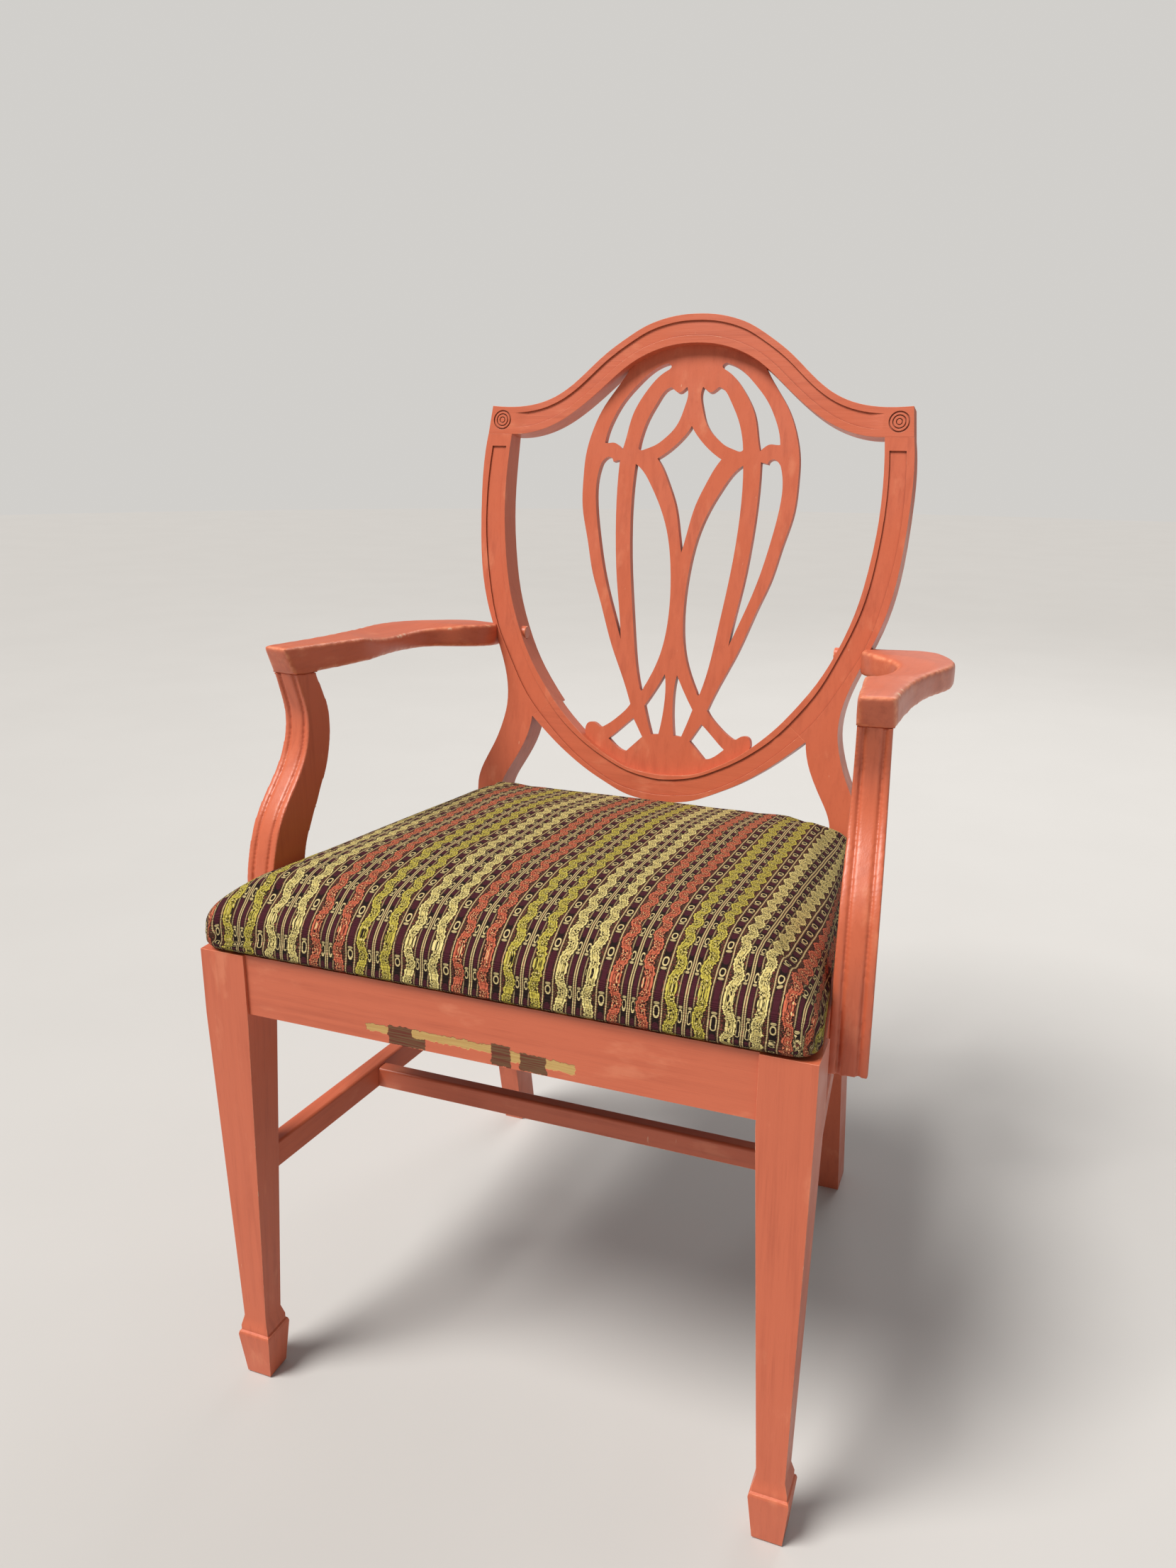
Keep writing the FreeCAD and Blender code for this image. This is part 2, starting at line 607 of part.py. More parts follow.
def stretcher_tenon():
    """The tenoned core of a side stretcher, as long as its shoulders and both tenons."""
    _, _, length = stretcher_line()
    width = STRETCHER_WIDTH - 2 * TENON_INSET
    height = STRETCHER_HEIGHT - 2 * TENON_INSET
    core = Part.makeBox(width, length, height)
    core.translate(vec(-width / 2, 0, -STRETCHER_HEIGHT + TENON_INSET))
    return along_stretcher(core)


def side_stretcher(leg, post):
    _, _, length = stretcher_line()
    body = along_stretcher(rounded_bar(STRETCHER_WIDTH, length, STRETCHER_HEIGHT))
    body = max(body.cut(leg).cut(post).Solids, key=lambda solid: solid.Volume)
    return body.fuse(stretcher_tenon()).removeSplitter()


def cross_bar(width, height, length, top):
    bar_shape = rounded_bar(width, length, height)
    bar_shape.rotate(vec(0, 0, 0), vec(0, 0, 1), -90)
    bar_shape.translate(vec(-length / 2, CROSS_Y, top))
    return bar_shape


def cross_half_length():
    """Half the cross stretcher's length to the middle line of the side stretchers."""
    start, angle, _ = stretcher_line()
    return start.x - (CROSS_Y - start.y) * sin(radians(angle)) / cos(radians(angle))


def cross_core():
    reach = cross_half_length() - STRETCHER_WIDTH / 2 + CROSS_TENON_LENGTH
    width = CROSS_WIDTH - 2 * TENON_INSET
    height = CROSS_HEIGHT - 2 * TENON_INSET
    low = STRETCHER_TOP - STRETCHER_HEIGHT + TENON_INSET
    return Part.makeBox(2 * reach, width, height, vec(-reach, CROSS_Y - width / 2, low))


def cross_stretcher(sides):
    top = STRETCHER_TOP - STRETCHER_HEIGHT + CROSS_HEIGHT
    body = cross_bar(CROSS_WIDTH, CROSS_HEIGHT, 2 * cross_half_length(), top)
    body = max(body.cut(sides).Solids, key=lambda solid: solid.Volume)
    return body.fuse(cross_core()).removeSplitter()


def arm_dish():
    """The flat ellipsoid that hollows the arm's top."""
    rise = DISH_ROUNDNESS - DISH_DEPTH
    share = sqrt(1 - (rise / DISH_ROUNDNESS) ** 2)
    shape = FreeCAD.Matrix()
    shape.scale(vec(DISH_HALF_WIDTH / share, DISH_HALF_LENGTH / share, DISH_ROUNDNESS))
    dish = Part.makeSphere(1).transformGeometry(shape)
    dish.translate(vec(0, 0, rise))
    dish.rotate(vec(0, 0, 0), vec(1, 0, 0), -DISH_SLOPE)
    heights = dict(ARM_TOP)
    before = max(y for y in heights if y <= DISH_Y)
    dish.translate(beside_rail(DISH_OUT, DISH_Y) + vec(0, 0, RAIL_TOP + heights[before]))
    return dish


def arm_front():
    """The space in front of the arm's leaning front face."""
    inner, outer = beside_rail(*ARM_INNER[0]), beside_rail(*ARM_OUTER[0])
    space = Part.makeBox(BIG, BIG, BIG, vec(-BIG / 2, -BIG, -BIG))
    space.rotate(vec(0, 0, 0), vec(1, 0, 0), ARM_FRONT_LEAN)
    turn = degrees(atan2(outer.y - inner.y, outer.x - inner.x))
    space.rotate(vec(0, 0, 0), vec(0, 0, 1), turn)
    space.translate(inner + vec(0, 0, RAIL_TOP + ARM_TOP[0][1]))
    return space


def arm_blank():
    plan = outline([ARM_INNER[1:], [ARM_BACK[-1]], list(reversed(ARM_BACK))[1:],
                    [ARM_OUTER[-1]], list(reversed(ARM_OUTER))[1:], [ARM_INNER[0]]], beside_rail)
    side = outline([ARM_TOP[1:], [ARM_UNDER[-1]], list(reversed(ARM_UNDER))[1:], [ARM_TOP[0]]],
                   edgewise)
    side.translate(vec(0, 0, RAIL_TOP))
    return plan.extrude(vec(0, 0, BIG)).common(side.extrude(vec(BIG, 0, 0)))


def arm(blank, post):
    shape = blank.cut([arm_dish(), arm_front()]).cut(post)
    return max(shape.Solids, key=lambda solid: solid.Volume)


def arm_support(blank_of_arm):
    side = outline([SUPPORT_FRONT[1:], [SUPPORT_BACK[0]], SUPPORT_BACK[1:], [SUPPORT_FRONT[0]]],
                   edgewise)
    front = outline([SUPPORT_IN[1:], [SUPPORT_OUT[0]], SUPPORT_OUT[1:], [SUPPORT_IN[0]]])
    wide = SUPPORT_OUT[-1][0]
    blank = side.extrude(vec(wide, 0, 0)).common(slab(front, 0, BIG))
    near = [(y + SUPPORT_GROOVE_DEPTH, h) for y, h in SUPPORT_FRONT]
    skin = outline([SUPPORT_FRONT[1:], [near[-1]], list(reversed(near))[1:], [SUPPORT_FRONT[0]]],
                   edgewise)
    for x in (SUPPORT_BEAD, wide - SUPPORT_BEAD - SUPPORT_GROOVE):
        groove = skin.extrude(vec(SUPPORT_GROOVE, 0, 0))
        groove.translate(vec(x, 0, 0))
        blank = blank.cut(groove)
    blank.translate(vec(0, 0, RAIL_TOP))
    parts = rail_place(blank).cut(blank_of_arm).Solids
    return min(parts, key=lambda solid: solid.BoundBox.ZMin)


def seat_section(low, height, inset, back_inset):
    """Rounded plan outline of the seat, drawn in by a distance and lower towards the back."""
    toe = radians(TOE)
    depth = BACK_Y + SEAT_BACK_REACH + SEAT_OVERHANG
    front = -SEAT_OVERHANG + inset
    back = BACK_Y + SEAT_BACK_REACH - back_inset
    side = SIDE_RAIL_FACE - SEAT_SIDE_GAP - inset / cos(toe)
    corners = []
    for sign, y in ((1, front), (1, back), (-1, back), (-1, front)):
        x = side + (LEG_DEPTH - y) * sin(toe) / cos(toe)
        corners.append(vec(sign * x, y, low + height * (1 - SEAT_TAPER * (y - front) / depth)))
    return rounded_polygon(corners, SEAT_CORNER_RADIUS)


def rounded_polygon(corners, radius):
    """A closed wire of straight edges with an arc at each corner."""
    starts, middles, ends = [], [], []
    for before, corner, after in zip(corners[-1:] + corners[:-1], corners, corners[1:] + corners[:1]):
        back = (before - corner).normalize()
        ahead = (after - corner).normalize()
        half = back.getAngle(ahead) / 2
        reach = radius * cos(half) / sin(half)
        inward = (back + ahead).normalize()
        starts.append(corner + back * reach)
        ends.append(corner + ahead * reach)
        middles.append(corner + inward * (radius / sin(half) - radius))
    edges = []
    for k in range(len(corners)):
        edges.append(Part.Arc(starts[k], middles[k], ends[k]).toShape())
        edges.append(Part.LineSegment(ends[k], starts[(k + 1) % len(corners)]).toShape())
    return Part.Wire(edges)


def post_notches(gap, low, high):
    """Boxes that clear the seat's back corners from the posts."""
    inner = POST_INNER - SEAT_POST_GAP - gap
    box = Part.makeBox(BIG, BIG, high - low)
    box.translate(vec(inner, BACK_Y - SEAT_POST_GAP - gap, low))
    return [box, mirror(box)]


def seat_base():
    return RAIL_TOP + DUST_COVER_THICKNESS


def seat_form(skin):
    """The cushioned outer form of the seat, or the same form under a skin."""
    low = seat_base() + skin
    stretch = (SEAT_HEIGHT - 2 * skin) / SEAT_HEIGHT
    wires = [seat_section(low, h * stretch, inset + skin, back_inset + skin)
             for h, inset, back_inset in SEAT_FORM]
    form = Part.makeLoft(wires, True, True)
    return form.cut(post_notches(skin, RAIL_TOP - 1, RAIL_TOP + 2 * SEAT_HEIGHT))


def seat_sheet(low, thickness, inset, gap):
    sheet = Part.Face(seat_section(low, 0, inset, inset)).extrude(vec(0, 0, thickness))
    return sheet.cut(post_notches(gap, low - 1, low + thickness + 1))


def seat_pieces():
    board = seat_sheet(seat_base() + COVER_THICKNESS, BOARD_THICKNESS, BOARD_INSET, BOARD_INSET / 2)
    inner = seat_form(COVER_THICKNESS)
    under = seat_sheet(seat_base() - 1, COVER_THICKNESS + 2, TURN_UNDER, TURN_UNDER / 2)
    cover = seat_form(0).cut(inner).cut(under)
    dust_cover = seat_sheet(RAIL_TOP, DUST_COVER_THICKNESS, DUST_COVER_INSET, DUST_COVER_INSET)
    return board, inner.cut(board), cover, dust_cover


def tack_points():
    """Places of the tacks under the seat, on a line inside the rails."""
    toe = radians(TOE)
    front = -SEAT_OVERHANG + TACK_INSET
    back = BACK_Y - TACK_INSET
    side = SIDE_RAIL_FACE - TACK_INSET
    points = []
    for k in range(TACKS_PER_SIDE):
        share = (k + 0.5) / TACKS_PER_SIDE
        y = front + share * (back - front)
        x = side - (y - LEG_DEPTH) * sin(toe) / cos(toe)
        across_x = (2 * share - 1) * (LEG_INNER - 2 * BLOCK_FRONT_REACH / 2)
        points += [(x, y), (-x, y), (across_x, front), (across_x, BACK_Y)]
    return points


def tack(x, y):
    head_low = RAIL_TOP - TACK_HEAD_THICKNESS
    head = bar(vec(x, y, head_low), vec(0, 0, 1), TACK_HEAD_THICKNESS, TACK_HEAD_RADIUS)
    shank = bar(vec(x, y, head_low), vec(0, 0, 1), TACK_LENGTH, TACK_SHANK_RADIUS)
    return head.fuse(shank).removeSplitter()


def corner_block(points):
    low = RAIL_TOP - BLOCK_BELOW_TOP - BLOCK_DEPTH
    face = Part.Face(Part.makePolygon([vec(x, y, low) for x, y in points + points[:1]]))
    return face.extrude(vec(0, 0, BLOCK_DEPTH))


def rail_inner(along):
    point = rail_point(-RAIL_THICKNESS, along, 0)
    return (point.x, point.y)


def front_block():
    behind = RAIL_SETBACK + RAIL_THICKNESS
    corner = rail_point(-RAIL_THICKNESS, 0, 0)
    slide = (LEG_DEPTH - corner.y) / cos(radians(TOE))
    return corner_block([(LEG_INNER - BLOCK_FRONT_REACH, behind), (LEG_INNER, behind),
                         (LEG_INNER, LEG_DEPTH), rail_inner(slide), rail_inner(BLOCK_SIDE_REACH)])


def back_block():
    before = BACK_Y + BACK_RAIL_SETBACK
    end = (BACK_Y - LEG_DEPTH) / cos(radians(TOE))
    return corner_block([(POST_INNER - BLOCK_FRONT_REACH, before), (POST_INNER, before),
                         (POST_INNER, BACK_Y - BLOCK_GAP), rail_inner(end - BLOCK_GAP),
                         rail_inner(end - BLOCK_SIDE_REACH)])


def both(shapes):
    """Right-hand shapes and their mirror images, as one group of separate solids."""
    return shapes + [mirror(shape) for shape in shapes]


def rail_dowels():
    half = DOWEL_LENGTH / 2
    end = (BACK_Y - LEG_DEPTH) / cos(radians(TOE))
    aim = rail_point(0, 1, 0) - rail_point(0, 0, 0)
    shapes = []
    for z in (RAIL_TOP - DOWEL_FROM_EDGE, RAIL_TOP - RAIL_DEPTH + DOWEL_FROM_EDGE):
        front_y = RAIL_SETBACK + RAIL_THICKNESS / 2
        back_y = BACK_Y + BACK_RAIL_SETBACK + RAIL_THICKNESS / 2
        shapes += [
            bar(vec(LEG_INNER - half, front_y, z), vec(1, 0, 0), DOWEL_LENGTH, DOWEL_RADIUS),
            bar(vec(POST_INNER - half, back_y, z), vec(1, 0, 0), DOWEL_LENGTH, DOWEL_RADIUS),
            bar(rail_point(-RAIL_THICKNESS / 2, -half, z), aim, DOWEL_LENGTH, DOWEL_RADIUS),
            bar(rail_point(-RAIL_THICKNESS / 2, end - half, z), aim, DOWEL_LENGTH, DOWEL_RADIUS),
        ]
    return both(shapes)


def crest_dowels():
    x = (STILE_OUTER[0][0] + SHIELD_INNER[-1][0]) / 2
    start = vec(x, FRAME_THICKNESS / 2, CREST_JOINT - DOWEL_LENGTH / 2)
    length = DOWEL_LENGTH - ROSETTE_GROOVES[0][0]
    return both([lean(bar(start, vec(0, 0, 1), length, DOWEL_RADIUS))])


def shield_rail_dowels():
    slope = radians(SHIELD_JOINT_SLOPE)
    x, h = SHIELD_OUTER[-1]
    shapes = []
    for reach in JOINT_DOWEL_REACHES:
        middle = vec(x - reach * cos(slope), FRAME_THICKNESS / 2, h + reach * sin(slope))
        aim = vec(sin(slope), 0, cos(slope))
        start = middle - aim * (DOWEL_LENGTH / 4)
        shapes.append(lean(bar(start, aim, DOWEL_LENGTH / 2, DOWEL_RADIUS)))
    return both(shapes)


def arm_dowels():
    along = (SUPPORT_FRONT[-2][0] + SUPPORT_BACK[1][0]) / 2
    foot = rail_point(SUPPORT_OUT[0][0] / 2, along, 0)
    z = RAIL_TOP + ARM_UNDER[1][1] - ARM_DOWEL_LENGTH / 2
    return both([bar(vec(foot.x, foot.y, z), vec(0, 0, 1), ARM_DOWEL_LENGTH, ARM_DOWEL_RADIUS)])


def block_screws():
    z = RAIL_TOP - BLOCK_BELOW_TOP - BLOCK_DEPTH / 2
    out = rail_point(1, 0, 0) - rail_point(0, 0, 0)
    behind = RAIL_SETBACK + RAIL_THICKNESS
    before = BACK_Y + BACK_RAIL_SETBACK
    end = (BACK_Y - LEG_DEPTH) / cos(radians(TOE))
    shapes = []
    for x, y, aim, along in ((LEG_INNER, behind, -1, BLOCK_SIDE_REACH),
                             (POST_INNER, before, 1, end - BLOCK_SIDE_REACH)):
        side_x, side_y = rail_inner(along)
        start_x = x - BLOCK_FRONT_REACH
        for part, direction in ((BLOCK_SCREW_SHARE, vec(0, aim, 0)), (1 - BLOCK_SCREW_SHARE, out)):
            start = vec(start_x + part * (side_x - start_x), y + part * (side_y - y), z)
            shapes.append(screw(start, direction, BLOCK_SCREW_LENGTH))
    return both(shapes)


def seat_screws():
    z = RAIL_TOP - BLOCK_BELOW_TOP - BLOCK_DEPTH
    front_in, front_behind = SEAT_SCREW_FRONT_INSET
    back_in, back_before = SEAT_SCREW_BACK_INSET
    front = vec(LEG_INNER - front_in, RAIL_SETBACK + RAIL_THICKNESS + front_behind, z)
    back = vec(POST_INNER - back_in, BACK_Y - back_before, z)
    return both([screw(point, vec(0, 0, 1), SEAT_SCREW_LENGTH) for point in (front, back)])


def support_screws():
    out = rail_point(1, 0, 0) - rail_point(0, 0, 0)
    along = (SUPPORT_FRONT[0][0] + SUPPORT_BACK[-1][0]) / 2
    levels = (RAIL_TOP - DOWEL_FROM_EDGE, RAIL_TOP - RAIL_DEPTH + DOWEL_FROM_EDGE)
    return both([screw(rail_point(-RAIL_THICKNESS, along, z), out, SUPPORT_SCREW_LENGTH)
                 for z in levels])


def arm_screw_axis():
    """Where the arm screw's axis meets the inner side of the stile."""
    y, h = leaned(FRAME_THICKNESS / 2, ARM_SCREW_HEIGHT)
    low, high = SHIELD_INNER[8], SHIELD_INNER[9]
    share = (ARM_SCREW_HEIGHT - low[1]) / (high[1] - low[1])
    return vec(low[0] + share * (high[0] - low[0]), y, RAIL_TOP + h)


def arm_screws():
    start = arm_screw_axis() + vec(PLUG_LENGTH - PLUG_PROUD, 0, 0)
    return both([screw(start, vec(1, 0, 0), ARM_SCREW_LENGTH)])


def arm_screw_plugs():
    start = arm_screw_axis() - vec(PLUG_PROUD, 0, 0)
    return both([bar(start, vec(1, 0, 0), PLUG_LENGTH, PLUG_RADIUS)])


def build():
    """Every piece by name, right-hand ones first cut for what goes into them."""
    window = shield_window()
    channel = shield_channel()
    tongue = splat_tongue()
    leg = front_leg()
    post = back_post(window)
    bottom = bottom_rail_blank(window)
    crest = crest_blank()
    blank = arm_blank()
    right_arm = arm(blank, post)
    support = arm_support(blank)
    rail = side_rail(leg, post)
    stretcher = side_stretcher(leg, post)
    cross = cross_stretcher([stretcher, mirror(stretcher)])
    splat = splat_blank(SPLAT_SETBACK, SPLAT_SETBACK + SPLAT_THICKNESS).cut([crest, bottom])
    splat = splat.fuse(tongue).cut(splat_openings()).removeSplitter()
    blocks = [front_block(), back_block()]
    board, foam, cover, dust_cover = seat_pieces()

    groups = {
        "rail_dowels": rail_dowels(), "crest_dowels": crest_dowels(),
        "shield_rail_dowels": shield_rail_dowels(), "arm_dowels": arm_dowels(),
        "corner_block_screws": block_screws(), "seat_screws": seat_screws(),
        "arm_support_screws": support_screws(), "arm_screws": arm_screws(),
        "arm_screw_plugs": arm_screw_plugs(),
        "seat_tacks": [tack(*point) for point in tack_points()],
    }
    fastenings = [shape for name, shapes in groups.items() if name != "seat_tacks" for shape in shapes]
    tacks = groups["seat_tacks"]

    pieces = {
        "crest_rail": crest.cut([crest_channel(), tongue] + rosette_rings(1) + rosette_rings(-1)),
        "shield_bottom_rail": bottom.cut([channel, tongue]),
        "splat": splat,
        "front_rail": front_rail(),
        "back_rail": back_rail(),
        "cross_stretcher": cross,
        "seat_board": board.cut(tacks),
        "seat_foam": foam,
        "seat_cover": cover.cut(tacks),
        "seat_dust_cover": dust_cover.cut(tacks),
        "front_corner_blocks": blocks[0],
        "back_corner_blocks": blocks[1],
    }
    rights = {
        "back_post": post.cut([channel]),
        "front_leg": leg.cut(stretcher),
        "side_rail": rail,
        "side_stretcher": stretcher.cut(cross_core()),
        "arm": right_arm,
        "arm_support": support,
    }
    rights["back_post"] = rights["back_post"].cut(stretcher)
    for name, shape in rights.items():
        pieces["right_" + name] = shape
        pieces["left_" + name] = mirror(shape)
    for name in ("front_corner_blocks", "back_corner_blocks"):
        pieces[name] = Part.makeCompound(both([pieces[name]]))
    pieces = {name: shape.cut(fastenings) for name, shape in pieces.items()}
    for name, shapes in groups.items():
        pieces[name] = Part.makeCompound(shapes)
    return pieces


def middle_y():
    """The middle of the chair from front to back."""
    front = -SEAT_OVERHANG
    back = leaned(FRAME_THICKNESS, CREST_TOP[0][1])[0]
    return (front + back) / 2


os.makedirs("parts", exist_ok=True)
for name, shape in build().items():
    shape.translate(vec(0, -middle_y(), 0))
    shape.exportStep("parts/" + name + ".step")
    print(name, len(shape.Solids), shape.isValid(), round(shape.Volume))
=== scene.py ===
import math

import bmesh
import bpy
from mathutils import Matrix, Vector, noise
from mathutils.bvhtree import BVHTree


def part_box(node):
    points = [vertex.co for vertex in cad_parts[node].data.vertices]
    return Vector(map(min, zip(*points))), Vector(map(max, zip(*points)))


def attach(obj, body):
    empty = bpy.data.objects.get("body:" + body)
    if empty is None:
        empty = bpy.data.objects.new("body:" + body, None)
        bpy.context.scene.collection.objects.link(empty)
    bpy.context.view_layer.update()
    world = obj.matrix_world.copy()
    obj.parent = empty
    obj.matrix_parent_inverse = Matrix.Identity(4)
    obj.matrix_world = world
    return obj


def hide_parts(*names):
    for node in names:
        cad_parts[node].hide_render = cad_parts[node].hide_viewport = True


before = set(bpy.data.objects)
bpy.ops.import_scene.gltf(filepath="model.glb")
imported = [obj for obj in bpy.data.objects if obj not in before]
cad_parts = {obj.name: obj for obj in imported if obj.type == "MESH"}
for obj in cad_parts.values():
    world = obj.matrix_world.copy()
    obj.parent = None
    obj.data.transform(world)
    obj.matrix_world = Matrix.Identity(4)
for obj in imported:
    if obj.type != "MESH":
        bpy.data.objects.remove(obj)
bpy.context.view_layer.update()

# Shield-back armchair: painted wood, moulded and rubbed at its edges, and a striped seat.
# Metres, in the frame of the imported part: +Z up, the sitter faces -Y.

# Camera, from the photograph
CAMERA_PLACE = (0.3733, -1.0165, 0.8538)
CAMERA_AZIMUTH = 21.087
CAMERA_ELEVATION = 16.633
CAMERA_ROLL = 0.359
CAMERA_LENS = 27.58
CAMERA_SENSOR = 36.0
CAMERA_REACH = 60

# Paint
CORAL = (0.60, 0.140, 0.066, 1)
CORAL_DEEP = (0.39, 0.074, 0.033, 1)
CORAL_RUBBED = (0.82, 0.31, 0.17, 1)
# Dark colour used for the painted shade in the hollows, and for the dark chips of bare wood on the
# front rail
HOLLOW_SHADE_AND_DARK_CHIP = (0.13, 0.024, 0.010, 1)
PRIMER = (0.80, 0.50, 0.34, 1)
# How far the painted shade in the hollows reaches
HOLLOW_WIDTH = 0.006
PAINT_RELIEF = 0.00035

# Paint lost along the lower edge of the front rail: (left, right, low, high, whether it is dark)
RAIL_CHIPS = [
    (-0.104, -0.083, 0.388, 0.3945, False), (-0.083, -0.050, 0.3800, 0.3965, True),
    (-0.062, 0.008, 0.3895, 0.3965, False), (0.008, 0.024, 0.3800, 0.3985, True),
    (0.024, 0.032, 0.3860, 0.3950, False), (0.032, 0.053, 0.3800, 0.3955, True),
    (0.053, 0.078, 0.3860, 0.3945, False),
]
CHIP_LIGHT = ((0.56, 0.37, 0.13, 1), (0.50, 0.30, 0.10, 1))
CHIP_DARK = ((0.15, 0.085, 0.036, 1), HOLLOW_SHADE_AND_DARK_CHIP)
CHIP_EDGE = 0.0003
CHIP_RAGGED = 0.006
CHIP_GRAIN = 190.0

# Wood pieces: the axis of each one's grain, and the angles and sizes of their rounded edges
GRAIN = {
    "crest_rail": "X", "shield_bottom_rail": "X", "splat": "Z", "front_rail": "X",
    "back_rail": "X", "cross_stretcher": "X", "arm_screw_plugs": "Z", "back_post": "Z",
    "front_leg": "Z", "side_rail": "Y", "side_stretcher": "Y", "arm": "Y", "arm_support": "Z",
}
JOIN = 0.0002
FLAT_ANGLE = 0.4
EDGE_ROUND = 0.0013
EDGE_SEGMENTS = 3
ROUND_ANGLE = 28.0
SHADE_ANGLE = 38.0

# Carved pieces: (voxel, rounds of smoothing, the neighbours that they fit against)
CARVED = {
    "arm": (0.0015, 22, ("back_post", "arm_support")),
    "arm_support": (0.0011, 3, ("side_rail", "front_leg", "arm")),
}
TOUCHING = 0.0012
WEAR_GAIN = 1.6
WEAR_START = 0.25

# Hidden pieces that keep their own solids
BARE_NODES = ("front_corner_blocks", "back_corner_blocks", "rail_dowels", "crest_dowels",
              "shield_rail_dowels", "arm_dowels")
STEEL_NODES = ("corner_block_screws", "seat_screws", "arm_support_screws", "arm_screws", "seat_tacks")

# Stripes: places and sizes across a pair of garlands are in millimetres from the pair's middle
PAIR_PITCH = 0.0422
PAIR_MIDDLE = -0.0915
WAVE_LENGTH = 0.0208
WAVE_DEPTH = 1.5
GARLAND_MIDDLE = 10.6
LEAF_LENGTH = 0.9
COLUMNS = ((3.5, 2.9), (21.1, 4.4))
LINES = ((0.85, 0.8), (6.0, 0.45), (17.2, 0.8))
LINE_HALF = 0.42
BLACK = (0.014, 0.007, 0.006, 1)
BROWN = (0.090, 0.038, 0.021, 1)
MAROON = (0.060, 0.011, 0.018, 1)
CREAM = (0.66, 0.53, 0.25, 1)
PINK = (0.42, 0.085, 0.07, 1)
GARLANDS = (
    ((0.60, 0.50, 0.09, 1), (0.27, 0.22, 0.022, 1)),
    ((0.80, 0.68, 0.28, 1), (0.44, 0.34, 0.09, 1)),
    ((0.60, 0.155, 0.080, 1), (0.34, 0.050, 0.026, 1)),
)

# Seat cushion: sections are (height above its underside, distance in from its edge, and from its
# back edge) in millimetres, and they get lower towards the back
SECTION = [
    (0, 30, 30), (0, 7, 7), (5, 4, 4), (13, 2, 2), (23, 1.5, 1.5), (32, 3.5, 6.5), (40, 9.5, 18),
    (46.5, 20, 39), (53, 41, 82), (59, 79, 128), (63, 128, 178),
]
TAPER = 0.33
SEAT_FRONT_HALF = 0.2622
SEAT_BACK_HALF = 0.2117
SEAT_LIFT = 0.0005
SEAT_CORNER = 0.016
CORNER_STEPS = 6
SIDE_STEPS = 24
SIDE_LENGTH = 0.05
NOTCH_INNER = 0.184
NOTCH_FRONT = 0.1501
NOTCH_GAP = 0.0015
NOTCH_BOX = (0.15, 0.2, 0.2)
NOTCH_DROP = 0.05
SEAT_VOXEL = 0.0045
SEAT_SMOOTHING = 8
SEAT_PRESSURE = 4.0
SEAT_QUALITY = 5
SEAT_FRAMES = 20
SEAT_SWELL = 0.006
SEAT_HELD = 0.006
FOLD_HEIGHT = 0.040

# Dust cloth: (y, half width) of its outline, and how far it sags inside its tacks
DUST_FRONT_HALF = 0.2450
DUST_OUTLINE = [(0.1302, 0.2080), (0.1342, 0.1680), (0.1670, 0.1680)]
DUST_FRONT_INSET = 0.001
DUST_ROW = 0.01
DUST_STEPS = 44
DUST_TACKED = 0.021
DUST_FREE = 0.085
DUST_SAG = 0.0017
DUST_CREASE = 0.0002
DUST_CREASES = 30
DUST_THICKNESS = 0.0005
DUST_LIFT = 0.0001

# Studio
FLOOR_RADIUS = 12
FLOOR_STEP = 6
KEY_PLACE = (-1.05, -1.35, 3.1)
KEY_AIM = (0, 0, 0.4)
KEY_POWER = 3.9
KEY_ANGLE = 24
KEY_COLOUR = (1.0, 0.965, 0.92)
BACK_PLACE = (0.4, 2.6, 2.8)
BACK_AIM = (0, 0, 0.6)
BACK_POWER = 30
BACK_SIZE = 2.2
SKY_COLOUR = (1.0, 0.97, 0.94, 1)
SKY_STRENGTH = 0.26
BACKGROUND = (0.64, 0.625, 0.60, 1)

scene = bpy.context.scene
scene.view_settings.view_transform = "Standard"


def rad(angle):
    return math.radians(angle)


def camera():
    azimuth, elevation, roll = rad(CAMERA_AZIMUTH), rad(CAMERA_ELEVATION), rad(CAMERA_ROLL)
    back = Vector((math.sin(azimuth) * math.cos(elevation), -math.cos(azimuth) * math.cos(elevation),
                   math.sin(elevation)))
    level = Vector((0, 0, 1)).cross(back).normalized()
    rise = back.cross(level)
    right = math.cos(roll) * level + math.sin(roll) * rise
    up = math.cos(roll) * rise - math.sin(roll) * level
    data = bpy.data.cameras.new("camera")
    data.lens = CAMERA_LENS
    data.sensor_width = CAMERA_SENSOR
    data.clip_end = CAMERA_REACH
    obj = bpy.data.objects.new("camera", data)
    scene.collection.objects.link(obj)
    turn = Matrix((right, up, back)).transposed().to_4x4()
    turn.translation = Vector(CAMERA_PLACE)
    obj.matrix_world = turn
    scene.camera = obj


